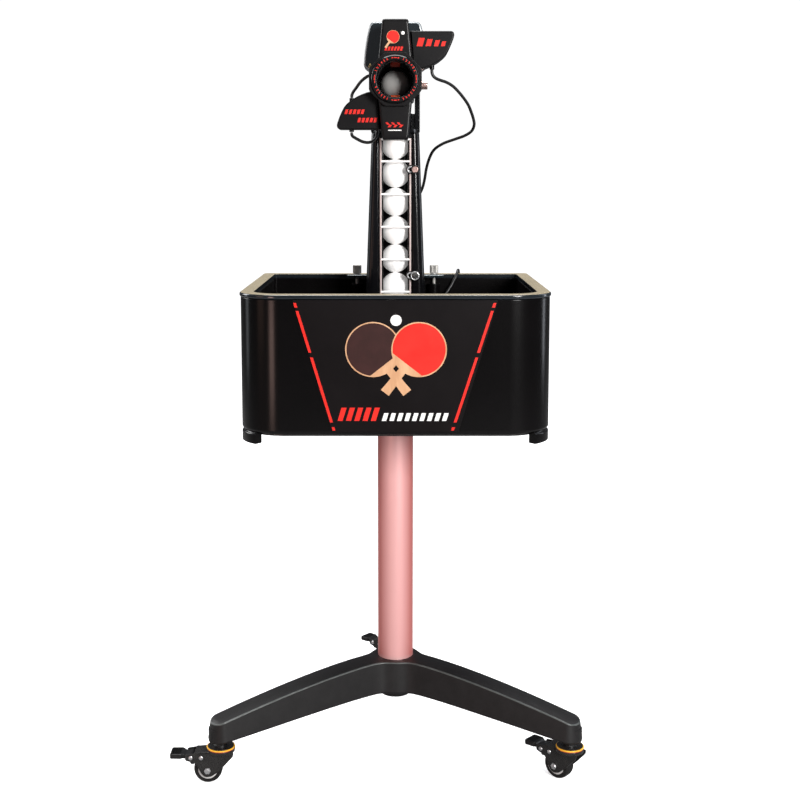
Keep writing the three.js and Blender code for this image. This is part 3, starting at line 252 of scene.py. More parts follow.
# The column's colour holds a painted shade: it is paler where the tube faces the eye and deepens to a dark red where it
# turns away, in place of the light falling off round it; it is bare metal just above the base: tone of the turned side,
# the facing values between which it comes in, then the foot's tone and its two heights in metres.
columnShadeAndFootTones = {
    "turned": (0.56, 0.165, 0.15, 1), "facing": (0.0, 0.5), "foot": (0.52, 0.50, 0.50, 1), "heights": (0.104, 0.132),
}


def columnShadeAndFoot(material):
    tree = material.node_tree
    shader = tree.nodes["Principled BSDF"]
    place, apart, weight = (
        tree.nodes.new(f"ShaderNode{kind}") for kind in ("TexCoord", "SeparateXYZ", "LayerWeight"))
    tree.links.new(place.outputs["Object"], apart.inputs["Vector"])
    # Painted shade: the colour darkens as the surface turns away from the eye
    away = rangeNode(tree, weight.outputs["Facing"], *columnShadeAndFootTones["facing"], 0, 1)
    shadedTint = mixNode(tree, away, shader.inputs["Base Color"].links[0].from_socket, columnShadeAndFootTones["turned"])
    foot = rangeNode(tree, apart.outputs["Z"], *columnShadeAndFootTones["heights"], 1, 0)
    tree.links.new(mixNode(tree, foot, shadedTint, columnShadeAndFootTones["foot"]), shader.inputs["Base Color"])


finishes = {name: makeFinish(name, row) for name, row in finishTable.items()}
columnShadeAndFoot(finishes["columnSatin"])
print("finishes made:", len(finishes))


# Surfaces
# A surface over a grid of points u by v, closed round v: quads between neighbours, and a flat end at the
# first and last u. The finish is one number, or one for each row of quads.
def grid(points, wrapU=False, caps=True, finish=0):
    ids = np.arange(points.shape[0] * points.shape[1]).reshape(points.shape[:2])
    rows = np.vstack([ids, ids[:1]]) if wrapU else ids
    rows = np.hstack([rows, rows[:, :1]])
    faces = np.stack([rows[:-1, :-1], rows[:-1, 1:], rows[1:, 1:], rows[1:, :-1]], -1).reshape(-1, 4).tolist()
    if np.ndim(finish):
        finish = np.repeat(finish, len(faces) // len(finish))
    if caps and not wrapU:
        faces += [ids[0, ::-1].tolist(), ids[-1].tolist()]
        finish = np.r_[finish, 0, 0] if np.ndim(finish) else finish
    return points.reshape(-1, 3), faces, finish


# The points of a line that differ from the one before.
def distinct(line, closed=True):
    far = np.linalg.norm(line - np.roll(line, 1, 0), axis=1) > 1e-7
    if not closed:
        far[0] = True
    return line[far]


# Corners rounded by a parabola: (1-t)^2 A + 2t(1-t) P + t^2 B, where A and B lie cut before and after corner P.
def softened(line, cut, steps=6, closed=True):
    line = np.asarray(line, float)
    cut = np.broadcast_to(np.asarray(cut, float), (len(line),)).copy()
    toBefore, toAfter = np.roll(line, 1, 0) - line, np.roll(line, -1, 0) - line
    if not closed:
        cut[0] = cut[-1] = 0
        toBefore[0], toAfter[-1] = toAfter[0], toBefore[-1]
    lengths = [np.linalg.norm(way, axis=1) for way in (toBefore, toAfter)]
    cut = np.minimum(cut, 0.49 * np.minimum(*lengths))
    first = line + toBefore / lengths[0][:, None] * cut[:, None]
    last = line + toAfter / lengths[1][:, None] * cut[:, None]
    t = np.linspace(0, 1, steps + 1)[None, :, None]
    rounded = (1 - t) ** 2 * first[:, None] + 2 * t * (1 - t) * line[:, None] + t**2 * last[:, None]
    return distinct(rounded.reshape(-1, line.shape[1]), closed)


# A closed outline moved inwards: each point goes along the mean of its two edge normals, over their cosine.
def inset(outline, depth):
    ahead = np.roll(outline, -1, 0) - outline
    ahead /= np.linalg.norm(ahead, axis=1)[:, None]
    x, y = outline[:, 0], outline[:, 1]
    turn = np.sign((x * np.roll(y, -1) - np.roll(x, -1) * y).sum())
    normal = turn * np.c_[-ahead[:, 1], ahead[:, 0]]
    before = np.roll(normal, 1, 0)
    return outline + depth * (normal + before) / np.maximum(1 + (normal * before).sum(1), 0.3)[:, None]


# Points of an outline at a height along x, y or z; the outline's own axes are the other two, in order.
def along(axis, flat, height):
    parts = [flat[..., 0], flat[..., 1]]
    parts.insert("xyz".index(axis), np.broadcast_to(height, flat.shape[:-1]))
    return np.stack(parts, -1)


# An outline carried along an axis, its two rims rounded by quarter circles of radius edge.
def slab(axis, outline, low, high, edge=0.6, steps=4, finish=0):
    outline = distinct(np.asarray(outline, float))
    a = np.linspace(0, pi / 2, steps + 1)
    insets = edge * np.r_[1 - np.sin(a), (1 - np.sin(a))[::-1]]
    levels = np.r_[low + edge * (1 - np.cos(a)), (high - edge * (1 - np.cos(a)))[::-1]]
    return grid(np.stack([along(axis, inset(outline, i), h) for i, h in zip(insets, levels)]), finish=finish)


# A profile of (radius, place along the axis) turned round it; a knurl adds depth * cos(count * angle).
def turned(axis, profile, centre=(0, 0, 0), sides=64, loop=False, finish=0, knurl=(0, 0)):
    profile = np.asarray(profile, float)
    a = np.linspace(0, 2 * pi, sides, endpoint=False)
    outside = profile[:, :1] > 0.6 * profile[:, 0].max()
    radius = profile[:, :1] + knurl[1] * np.cos(knurl[0] * a)[None] * outside
    flat = np.stack([radius * np.cos(a), radius * np.sin(a)], -1)
    points = along(axis, flat, np.broadcast_to(profile[:, 1:], radius.shape)) + np.asarray(centre, float)
    return grid(points, wrapU=loop, caps=False, finish=finish)


# A round bar with rounded rims, or with a domed far end that rises by dome.
def rod(axis, radius, low, high, centre=(0, 0, 0), edge=0.5, sides=48, finish=0, dome=0):
    crown = np.linspace(0, pi / 2, 7)[1:-1] if dome else []
    top = [[radius * cos(t), high + dome * sin(t)] for t in crown] + [[0, high + dome]]
    cut = [0, edge, 0 if dome else edge] + [0] * len(top)
    profile = softened([[0, low], [radius, low], [radius, high]] + top, cut, 4, False)
    return turned(axis, profile, centre, sides, finish=finish)


# A rounded rectangle turned round the axis.
def ring(axis, inner, outer, low, high, centre=(0, 0, 0), edge=0.6, sides=96, finish=0, knurl=(0, 0)):
    section = softened([[inner, low], [outer, low], [outer, high], [inner, high]], edge, 4)
    return turned(axis, section, centre, sides, True, finish, knurl)


# A box with all edges rounded.
def block(x, y, z, cut=1.0, edge=0.8, axis="z"):
    (a, b), (c, d), span = {"y": (x, z, y), "z": (x, y, z)}[axis]
    return slab(axis, softened([[a, c], [b, c], [b, d], [a, d]], cut, 5), *span, edge=edge)


# Points on a circle: centre + radius (cos a, sin a), from start to stop degrees.
def arc(x, y, radius, start, stop, count):
    a = np.radians(np.linspace(start, stop, count))
    return np.c_[x + radius * np.cos(a), y + radius * np.sin(a)]


# A centripetal Catmull-Rom curve: on each span a cubic Hermite whose end slopes are weighted by the root
# of the chord lengths, then points at even steps along it.
def smoothLine(route, spacing=2.0):
    route = np.asarray(route, float)
    full = np.vstack([2 * route[0] - route[1], route, 2 * route[-1] - route[-2]])
    p = [full[i : len(full) - 3 + i] for i in range(4)]
    d = [np.sqrt(np.linalg.norm(p[i + 1] - p[i], axis=1))[:, None] for i in range(3)]
    way = [(p[i + 1] - p[i]) / d[i] for i in range(3)]
    slope = lambda i: (way[i] - (p[i + 2] - p[i]) / (d[i] + d[i + 1]) + way[i + 1]) * d[1]
    t = np.linspace(0, 1, 24, endpoint=False)[None, :, None]
    a, b, m, n = (v[:, None] for v in (p[1], p[2], slope(0), slope(1)))
    fine = (2 * t**3 - 3 * t**2 + 1) * a + (t**3 - 2 * t**2 + t) * m + (3 * t**2 - 2 * t**3) * b + (t**3 - t**2) * n
    fine = np.vstack([fine.reshape(-1, 3), route[-1]])
    run = np.r_[0, np.cumsum(np.linalg.norm(np.diff(fine, axis=0), axis=1))]
    places = np.linspace(0, run[-1], int(run[-1] / spacing) + 2)
    return np.stack([np.interp(places, run, fine[:, k]) for k in range(3)], -1)


# A circle carried along a path: P(u) + r (N cos v + B sin v), with N across the path and the reference line.
def tube(path, radius, reference, sides=20, ends=0.4):
    path = np.asarray(path, float)
    way = np.gradient(path, axis=0)
    way /= np.linalg.norm(way, axis=1)[:, None]
    n = np.cross(way, np.asarray(reference, float))
    n /= np.linalg.norm(n, axis=1)[:, None]
    b = np.cross(way, n)
    a = np.linspace(0, 2 * pi, sides, endpoint=False)[None, :, None]
    radii = np.full(len(path), float(radius))
    radii[[0, -1]] -= ends
    return grid(path[:, None] + radii[:, None, None] * (n[:, None] * np.cos(a) + b[:, None] * np.sin(a)))


# A ball of radius r with a hair-thin seam at its waist, tipped about x by tilt:
# r(a) = radius - depth exp(-(a / width)^2) at latitude a.
def sphere(centre, radius, tilt, sides=64):
    seam = {"depth": 0.07, "width": 0.012, "rows": (-0.022, -0.011, 0.011, 0.022)}
    a = np.sort(np.r_[np.linspace(-pi / 2, pi / 2, sides // 2 + 1), seam["rows"]])
    r = radius - seam["depth"] * np.exp(-((a / seam["width"]) ** 2))
    points, faces, finish = turned("z", np.c_[r * np.cos(a), r * np.sin(a)], sides=sides)
    turn = np.array([[1, 0, 0], [0, cos(tilt), -sin(tilt)], [0, sin(tilt), cos(tilt)]])
    return points @ turn.T + np.asarray(centre, float), faces, finish


# A small bar with sharp edges: a rectangle turned by its angle, between two heights along the axis.
def smallBar(axis, centre, angle, half, low, high, finish=0):
    c, s = cos(angle), sin(angle)
    flat = np.array([[-1, -1], [1, -1], [1, 1], [-1, 1]]) * half @ np.array([[c, s], [-s, c]]) + centre
    return grid(np.stack([along(axis, flat, height) for height in (low, high)]), finish=finish)


# Parts turned about z by a heading in degrees, or half round about y, then shifted.
def moved(parts, heading=0.0, shift=(0, 0, 0), flip=False):
    a = radians(heading)
    turn = np.array([[cos(a), -sin(a), 0], [sin(a), cos(a), 0], [0, 0, 1]])
    if flip:
        turn = turn @ np.diag([-1, 1, -1])
    return [(points @ turn.T + np.asarray(shift, float), faces, finish) for points, faces, finish in parts]


# Every part's points and faces in one mesh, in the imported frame, with outward faces.
def meshOf(name, parts, finishNames=()):
    offsets = np.cumsum([0] + [len(part[0]) for part in parts])
    points = np.vstack([part[0] for part in parts]) * mm + columnAxis
    faces = [[i + offset for i in face] for part, offset in zip(parts, offsets) for face in part[1]]
    finish = np.concatenate([np.broadcast_to(part[2], len(part[1])) for part in parts])
    mesh = bpy.data.meshes.new(name)
    mesh.from_pydata(points.tolist(), [], faces)
    mesh.polygons.foreach_set("material_index", finish)
    shape = bmesh.new()
    shape.from_mesh(mesh)
    bmesh.ops.remove_doubles(shape, verts=shape.verts, dist=2e-6)
    bmesh.ops.dissolve_degenerate(shape, edges=shape.edges, dist=1e-6)
    bmesh.ops.recalc_face_normals(shape, faces=shape.faces)
    shape.to_mesh(mesh)
    shape.free()
    for finishName in finishNames:
        mesh.materials.append(finishes[finishName])
    return mesh


# The mesh that an object has after its modifiers.
def shownMesh(item):
    bpy.context.view_layer.update()
    return bpy.data.meshes.new_from_object(item.evaluated_get(bpy.context.evaluated_depsgraph_get()))


# Cuts closed parts out of a piece, one after another, and keeps the result as its mesh.
def carve(piece, parts):
    for part in parts:
        tool = linked("tool", meshOf("tool", [part]))
        cutter = piece.modifiers.new("cut", "BOOLEAN")
        cutter.operation, cutter.solver, cutter.object, cutter.use_self = "DIFFERENCE", "EXACT", tool, True
        result = shownMesh(piece)
        piece.modifiers.clear()
        piece.data = result
        bpy.data.objects.remove(tool)


# Closed parts put into a piece's mesh after it was carved.
def addTo(piece, parts):
    shape = bmesh.new()
    shape.from_mesh(piece.data)
    shape.from_mesh(meshOf("added", parts))
    shape.to_mesh(piece.data)
    shape.free()


# A piece with its body and the CAD node that it replaces; angle is where its shading turns sharp.
def makePiece(name, parts, finishNames, body, node, angle=38, cuts=(), added=()):
    finishNames = [finishNames] if isinstance(finishNames, str) else finishNames
    piece = linked(name, meshOf(name, parts, finishNames))
    carve(piece, cuts)
    if added:
        addTo(piece, added)
    piece.data.shade_smooth()
    piece.data.set_sharp_from_angle(angle=radians(angle))
    piece.modifiers.new("even", "WEIGHTED_NORMAL").keep_sharp = True
    if body:
        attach(piece, body)
    if node:
        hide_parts(node)
    return piece


# Leads
# The routes of the CAD source
leadRadius = 2.1
leadRoutes = {
    "right": [
        (49.2, -24, 948.6), (49.2, -24, 945.5), (50.5, -23.7, 941.3), (54.5, -22, 937.6), (61, -18, 935.2),
        (69, -12, 933), (78.3, -6, 928.1), (87.2, 0, 919.9), (94.7, 8, 911.7), (100.9, 16, 903.4), (105, 24, 895),
        (108.4, 32, 886.6), (110.3, 40, 878), (107.3, 50, 869.5), (98.5, 58, 863.5), (86, 66, 859), (67.1, 76, 852.1),
        (55, 87, 843.3), (48.5, 98, 830.3), (44.9, 106, 816.9), (42.6, 114, 802), (39.5, 120.5, 789), (34, 124.5, 778),
        (27.5, 124, 771.5), (24, 121, 770), (24, 118.4, 770),
    ],
    "leftUpper": [
        (-31.4, -40, 940), (-35.5, -40, 939.6), (-41, -38, 936.5), (-47, -34, 931.5), (-52.5, -30, 924.5),
        (-57.2, -25.5, 918.5), (-58.8, -24, 914.5), (-58.8, -24, 911.5),
    ],
    "leftLower": [
        (-59.1, -24, 865.2), (-59.1, -24, 862.6), (-58, -22, 860.2), (-55.3, -19, 858.4), (-51, -15, 856),
        (-45.5, -11, 853.4), (-39, -8, 852.1), (-33.6, -5, 852.9), (-29.1, -1.5, 856), (-26, 1.5, 860.6),
        (-25, 2.8, 865.5), (-24.6, 3, 870.5), (-22.6, 3, 874.6), (-20.9, 3, 876),
    ],
    "bin": [
        (24, 118.4, 600), (24.4, 123, 600.3), (28, 129, 602), (38, 136, 606), (51, 142, 612), (64, 147, 619),
        (75, 152, 629), (83, 156, 640), (88.5, 159, 650), (92, 162, 657.3), (93.7, 166.4, 662.8), (94.6, 172, 664),
        (95.4, 179, 664), (96.2, 185.6, 662.6), (97, 190.6, 656.5), (97.6, 192.6, 648), (98.2, 196, 636),
        (99, 200, 624), (100, 202, 616), (100, 202.5, 611.8),
    ],
}


# A tube along the share of a route from start to stop.
def layLead(name, route, body, node, reference, start=0, stop=1):
    path = smoothLine(leadRoutes[route])
    count = len(path) - 1
    path = path[round(start * count) : round(stop * count) + 1]
    lead = tube(path, leadRadius, reference, ends=0.4 if (start, stop) == (0, 1) else 0)
    piece = makePiece(name, [lead], "leadJacket", body, node)
    centre = path * mm + columnAxis
    return piece, centre


# The right lead crosses the roll, the tilt and the sweep, one joint in each third
leadThirds = (
    ("spin_end", "spin_head", "tilt_head", 0, 0.36), ("middle", "tilt_head", "turntable", 0.36, 0.62),
    ("tower_end", "turntable", "stand", 0.62, 1),
)
for name, fromBody, toBody, start, stop in leadThirds:
    node = None if start else "head_lead_right"
    piece, centre = layLead(f"head_lead_{name}", "right", None, node, (0.5, 1, 0.1), start, stop)
    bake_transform(piece)
layLead("head_lead_short", "leftUpper", "spin_head", "head_lead_left_upper", (0, 1, 0.1))
layLead("head_lead_loop", "leftLower", "spin_head", "head_lead_left_lower", (0.1, 1, 0))
layLead("bin_lead_tube", "bin", "stand", "bin_lead", (1, -0.6, 0.1))
print("leads laid")

# Base casting and column
# Boss and pad are radius, lower end, upper end, rounding, its steps and the sides
baseCasting = {
    "top": 125, "hub": 38, "reach": 270, "nose": 16, "half": 22.5, "noseHalf": 20, "drop": 42, "arch": 1.45,
    "depth": 45, "noseDepth": 26.4, "belly": 2.2, "draft": 3, "edge": 3, "crease": 1.7, "blend": 8, "spine": 60,
    "crown": 0.9, "headings": (210, 330, 90), "boss": (22, 69, 93, 3, 5, 96), "pad": (16, 56.5, 74, 1.2, 4, 64),
}


# Half of a leg seen from above: r = ((half / sin a)^8 + hub^8)^(1/8) round the hub, the straight side,
# an ellipse at the nose.
def castingHalf():
    c = baseCasting
    side = lambda s: c["half"] + (c["noseHalf"] - c["half"]) * s / c["reach"]
    a = np.linspace(pi / 3, radians(21), 30)
    r = ((side(c["half"] / np.tan(a)) / np.sin(a)) ** c["blend"] + c["hub"] ** c["blend"]) ** (1 / c["blend"])
    hubArc = np.c_[r * np.cos(a), r * np.sin(a)]
    s = np.linspace(hubArc[-1, 0], c["reach"], 44)[1:]
    t = np.linspace(0, pi / 2, 15)[1:]
    nose = np.c_[c["reach"] + c["nose"] * np.sin(t), c["noseHalf"] * np.cos(t)]
    return np.vstack([hubArc, np.c_[s, side(s)], nose])


# Rings from the middle line of the underside, out over the sides and back over the top to the middle line.
def castingLegs():
    c, half = baseCasting, castingHalf()
    oneLeg = np.vstack([half * [1, -1], half[-2:0:-1]])
    s, side = np.tile(oneLeg, (3, 1)).T
    a = np.repeat(np.radians(sorted(c["headings"])), len(oneLeg))
    spin = lambda s, side: np.c_[s * np.cos(a) - side * np.sin(a), s * np.sin(a) + side * np.cos(a)]
    out = lambda p: p[:, 0] * np.cos(a) + p[:, 1] * np.sin(a)
    spine = np.where(s > c["spine"], np.minimum(s, c["reach"]), (s - s.min()) * c["spine"] / (c["spine"] - s.min()))
    outer, middle = spin(s, side), spin(spine, 0)
    tip, belly = c["reach"] + c["nose"], c["depth"] - c["noseDepth"]
    top = lambda p: c["top"] - c["drop"] * np.maximum(0, (out(p) - c["hub"]) / (tip - c["hub"])) ** c["arch"]
    bottom = lambda p: top(p) - c["depth"] + belly * (np.maximum(out(p), 0) / tip) ** c["belly"]
    e, crease, q = c["edge"], c["crease"], np.linspace(0, pi / 2, 6)
    under, over = inset(outer, e), inset(outer, c["draft"] + crease)
    part = lambda p, t: middle + (p - middle) * t
    high, low = top(outer), bottom(outer)
    rows = [np.c_[part(under, t), bottom(part(under, t))] for t in (0, 0.35, 0.7)]
    rows += [np.c_[inset(outer, e * (1 - np.sin(t))), low + e * (1 - np.cos(t))] for t in q]
    rows += [np.c_[inset(outer, c["draft"] * t), low + (high - low) * t] for t in (0.4, 0.7)]
    rows += [np.c_[inset(outer, c["draft"] + crease * (1 - np.cos(t))), high - crease * (1 - np.sin(t))] for t in q]
    crown = lambda t: c["crown"] * (1 - t**2) * (out(over) > 0)
    rows += [np.c_[part(over, t), top(part(over, t)) + crown(t)] for t in (0.8, 0.5, 0.2, 0)]
    finish = np.zeros(len(rows) - 1, int)
    # The crease rows take the lighter finish: a painted highlight line along the top edge
    finish[-9:-4] = 1  # the rounded crease round the top
    return grid(np.stack(rows), caps=False, finish=finish)


# A round plug with a rounded lower rim.
def plug(radius, low, high, cut, steps, sides):
    profile = softened([[0, low], [radius, low], [radius, high], [0, high]], [0, cut, 0, 0], steps, False)
    return turned("z", profile, sides=sides)


def legEnd(heading):
    return baseCasting["reach"] * cos(radians(heading)), baseCasting["reach"] * sin(radians(heading)), 0


baseParts = [castingLegs(), plug(*baseCasting["boss"])]
for heading in baseCasting["headings"]:
    baseParts += moved([plug(*baseCasting["pad"])], heading, legEnd(heading))
makePiece("base_cast_form", baseParts, ["castPaint", "castCreaseHighlight"], "stand", "base_casting", angle=50)
columnTube = {"inner": 23, "outer": 25, "low": 95.3, "high": 476.4}
sleeve = ring("z", *columnTube.values(), sides=160)
makePiece("column_sleeve", [sleeve], "columnSatin", "stand", "column_tube")
print("base and column made")

# Casters
caster = {
    "wheel": 19, "half": 8.5, "rimIn": 10.5, "rimOut": 12.9, "trail": 16.7, "axle": 18.77, "gap": 10.3, "plate": 2,
    "swivel": 19, "neck": 17.6, "top": 49.7, "race": (46.2, 46.9), "seal": (47.0, 48.9), "bottom": 41.5, "pivot": 39,
    "guard": 25, "rivetHeight": 36.5, "reach": 67, "pad": (34.75, 41.25),
}
forkShares = np.array([
    [-0.46, 1.06], [-0.46, 0.93], [-0.04, 0.5], [0.13, 0.36], [0.32, 0.235], [0.54, 0.235],
    [0.68, 0.42], [0.83, 0.7], [1.19, 0.79], [1.19, 0.97], [0.64, 1.06],
]) * [caster["pivot"], caster["bottom"]]


# A nut seen along its axis.
def hexagon(x, y, radius):
    return softened(arc(x, y, radius, 0, 300, 6), 0.5, 3)


# A profile of (radius, place) and its mirror image at the other end.
def bothEnds(profile):
    return np.vstack([profile, np.array(profile[::-1]) * [1, -1]])


def casterFork():
    c = caster
    outside = c["gap"] + c["plate"]
    outline = softened(forkShares, [1, 3, 6, 4, 4, 4, 4, 3, 2.5, 2, 2], 6)
    raceOut, race = c["swivel"] - 0.4, c["race"]
    low, high, neck = c["bottom"], c["top"], c["neck"]
    cup = [[0, low], [c["swivel"], low], [raceOut, race[0]], [neck, race[1]], [neck, high], [0, high]]
    parts = [
        turned("z", softened(cup, [0, 1.5, 0.4, 0.3, 0.6, 0], 4, False), sides=96),
        ring("z", 16, c["swivel"] - 0.1, *c["seal"], edge=0.5, finish=1),
        ring("z", 16, raceOut, *race, edge=0.2, finish=2), ring("z", 10, 12.2, high - 0.3, high + 0.2, edge=0.2),
        block((-5, 34), (-outside, outside), (low, low + c["plate"]), 2, 0.6),
        rod("y", 3, -outside, outside, (c["trail"], 0, c["axle"])),
        rod("y", 2, -outside, outside, (c["pivot"], 0, c["rivetHeight"])),
    ]
    rivet = rod("y", 3, 0, 0.3, sides=32, finish=3, dome=1.4)
    tip = rod("y", 2.6, 0, 2, sides=32, finish=3, dome=0.5)
    caps = ((c["pivot"], c["rivetHeight"], rivet), (c["guard"], c["rivetHeight"], rivet), (c["trail"], c["axle"], tip))
    for side in (-1, 1):
        parts.append(slab("y", outline, *sorted((side * c["gap"], side * outside)), 0.5))
        bolt = sorted((side * outside, side * (outside + 1.9)))
        parts.append(slab("y", hexagon(c["trail"], c["axle"], 4.5), *bolt, 0.35, finish=3))
        parts += [(points * [1, side, 1] + [x, side * outside, z], faces, 3) for x, z, (points, faces, _) in caps]
    return parts


def casterWheel():
    c = caster
    tyre = bothEnds([[c["rimOut"], -c["half"]], [17.6, -c["half"]], [c["wheel"], -5]])
    tyre = softened(tyre, [0.3, 1.4, 2.2, 2.2, 1.4, 0.3], 6)
    disc = softened(bothEnds([[3.3, -9.9], [5.6, -9.9], [5.8, -7.3], [10.7, -7.0]]), 0.5, 4)
    centre = (c["trail"], 0, c["axle"] + 0.23)
    rim = ring("y", c["rimIn"], c["rimOut"], -8.6, 8.6, centre, 0.5, 96, 1)
    return [turned("y", tyre, centre, 96, True), rim, turned("y", disc, centre, 96, True, 2)]


def casterPedal():
    c = caster
    arm = softened([
        [-4.6, -9.5], [0, -9.5], [4, -1.75], [28, -1.75], [28, 4.75], [11, 4.75], [7.5, 1.75], [3.6, 2.8], [0, 4],
        [-3.6, 2], [-4, 0],
    ], [0.8, 1, 1.5, 1, 1.5, 2, 2, 1.5, 2, 1.5, 1], 5) + [c["pivot"], c["rivetHeight"]]
    low, high = c["pad"]
    ribs = [smallBar("z", (x, 0), 0, (0.5, 9), high - 0.25, high + 0.25) for x in np.linspace(53, 64, 5)]
    return [slab("y", arm, -9.9, 9.9, 0.6), block((50, c["reach"]), (-12, 12), (low, high), 3.5, 1.3), *ribs]


# The stem's thread is a wave of 14 turns on its radius.
def casterStem():
    low, high, radius, depth, turns = 50, 72.2, 5, 0.25, 14
    t = np.linspace(0, 1, 60)
    thread = np.c_[radius - depth * (0.5 + 0.5 * np.cos(t * 2 * pi * turns)), low + t * (high - low)]
    return [
        turned("z", np.vstack([[[0, low]], thread, [[0, high]]]), sides=32), rod("z", 8, 38.2, 41.2, edge=0.8),
        slab("z", hexagon(0, 0, 9), low, 56.2, 0.5), ring("z", radius, 9.6, 49.9, 50.9, edge=0.3),
    ]


# Each caster: the heading of its leg, and the one in which its wheel trails
forkTones, wheelTones = ["forkSteel", "raceSeal", "raceRed", "zinc"], ["tyreRubber", "hubRing", "pedalPlastic"]
for name, legHeading, trailHeading in (("left", 210, 180), ("right", 330, 138), ("rear", 90, 140)):
    for kind, parts, finishNames, body, part, slotName in (
        ("fork_pressing", casterFork(), forkTones, f"{name}_caster", "fork", "steel_black"),
        ("wheel_tyre", casterWheel(), wheelTones, f"{name}_wheel", "wheel", "rubber"),
        ("brake_pedal", casterPedal(), "pedalPlastic", f"{name}_pedal", "pedal", "rubber"),
        ("stem_bolt", casterStem(), "stemSteel", "stand", "stem", "bright_metal"),
    ):
        parts = moved(parts, trailHeading, legEnd(legHeading))
        makePiece(f"{name}_{kind}", parts, finishNames, body, f"{name}_caster_{part}")
print("casters made")

# Ball bin
tray = {
    "half": 200, "front": -180.5, "rear": 183.5, "bottom": 481, "top": 652.6, "wall": 17, "skin": 3.5, "corner": 56,
    "rearCorner": 6, "floor": 510, "under": 506, "rise": 15, "pit": 68, "pitY": 8, "rimLow": 652.9, "rimTop": 659,
    "screwX": 58, "screwY": 159.5, "footEnd": 30,
}


# An outline whose right half is given, closed by its mirror image.
def bothSides(right):
    return np.vstack([right, np.array(right)[::-1] * [-1, 1]])


# The bin seen from above: straight sides joined by quarter circles, all moved in by depth.
def trayOutline(depth):
    b = tray
    half, front, rear = b["half"] - depth, b["front"] + depth, b["rear"] - depth
    big, small = max(b["corner"] - depth, 3), max(b["rearCorner"] - depth, 3)
    frontArc = arc(half - big, front + big, big, -90, 0, 28)
    return bothSides(np.vstack([frontArc, arc(half - small, rear - small, small, 0, 90, 8)]))


def trayRows(section):
    return [along("z", trayOutline(depth), height) for depth, height in section]


# The section of the double wall carried round the tray, then the floor drawn in to the round pit.
def binWalls():
    b, centre = tray, [0, tray["pitY"]]
    innerSkin, underTop = b["wall"] - b["skin"], b["top"] - b["skin"]
    section = softened([
        [innerSkin, b["under"]], [innerSkin, underTop], [b["skin"], underTop], [b["skin"], b["bottom"]],
        [b["skin"] - 1.2, b["bottom"]], [0, b["bottom"] + 3], [0, b["top"]], [b["wall"], b["top"]],
        [b["wall"], b["floor"] + b["rise"]],
    ], [0, 1, 1, 0.6, 1, 1.5, 0.9, 0.9, 0], 5, False)
    rows = trayRows(section)
    wall = trayOutline(b["wall"]) - centre
    angle = np.arctan2(wall[:, 1], wall[:, 0])
    pit = b["pit"] * np.c_[np.cos(angle), np.sin(angle)]
    slope = lambda k: along("z", centre + wall + (pit - wall) * k, b["floor"] + b["rise"] * (1 - k))
    rows += [slope(k) for k in np.linspace(0, 1, 12)[1:]] + [along("z", centre + pit * 0.05, b["floor"])]
    return grid(np.stack([along("z", trayOutline(innerSkin) * 0.02 + centre, b["under"]), *rows]))


# The feet: strips under the corners, their section a rounded step of (depth, height).
footSection = softened(
    [[0, 466], [0, 478.5], [2.5, 480.5], [2.5, 486], [12, 486], [12, 466]], [1.2, 1, 1, 0.5, 0.5, 1.2], 4)


def footStrip(side, x, y):
    return grid(np.stack([side * x, y, np.broadcast_to(footSection[:, 1], x.shape)], -1))


def frontFoot(side):
    a = np.radians(np.linspace(-51, 0, 24))[:, None]
    radius, inward = tray["corner"] - footSection[:, 0], tray["corner"]
    return footStrip(side, tray["half"] - inward + radius * np.cos(a), tray["front"] + inward + radius * np.sin(a))


def rearFoot(side):
    depth = footSection[:, 0]
    half, rear, end = tray["half"] - depth, tray["rear"] - depth, 0 * depth - tray["footEnd"]
    bend = np.radians(np.linspace(0, 90, 8))[:, None]
    radius = np.maximum(tray["rearCorner"] - depth, 0.5)
    x = np.vstack([half, half - radius + radius * np.cos(bend), tray["half"] + end])
    return footStrip(side, x, np.vstack([tray["rear"] + end, rear - radius + radius * np.sin(bend), rear]))


def clampBoss(side):
    x, y, radius = tray["screwX"], tray["screwY"], 9
    outline = np.vstack([arc(x, y, radius, 180, 360, 30), [[x + radius, y + 8.5], [x - radius, y + 8.5]]])
    return slab("z", outline * [side, 1], 623, 645, 0.8)


binParts = [binWalls()] + [make(side) for side in (-1, 1) for make in (frontFoot, rearFoot, clampBoss)]
makePiece("bin_body", binParts, "binPlastic", "stand", "bin_shell", angle=32)


# The middles of a closed line's edges.
def middles(line):
    return (line + np.roll(line, -1, 0)) / 2


# The rim is champagne on top and dark on its rounded sides
low, high, wall = tray["rimLow"], tray["rimTop"], tray["wall"]
rimSection = softened(
    [[0.4, low], [-1.5, low + 1.3], [-1.5, high - 1.4], [0.2, high], [wall, high], [wall, low]],
    [0.5, 1, 1.2, 1.2, 1.0, 0.4], 5)
rimFinish = np.where(middles(rimSection)[:, 1] > high - 0.4, 0, 1)
rimForm = grid(np.stack(trayRows(rimSection)), wrapU=True, finish=rimFinish)
makePiece("bin_rim_frame", [rimForm], ["rimTop", "rimEdge"], "stand", "bin_rim", angle=45)

panelSheet = {"topHalf": 129, "footHalf": 80, "low": 484.5, "high": 652.5, "face": -182, "back": -180.7}
panelCorners = [[panelSheet["footHalf"], panelSheet["low"]], [panelSheet["topHalf"], panelSheet["high"]]]
panelForm = slab("y", softened(bothSides(panelCorners), 1.2, 4), panelSheet["face"], panelSheet["back"], 0.3)
makePiece("front_panel_sheet", [panelForm], "panelVinyl", "stand", "front_panel")
print("bin made")

# Feed rotor
feedRotor = {"radius": 60, "pitch": 50, "pocket": 21.5, "low": 510.5, "high": 530, "y": 8, "hub": 15}


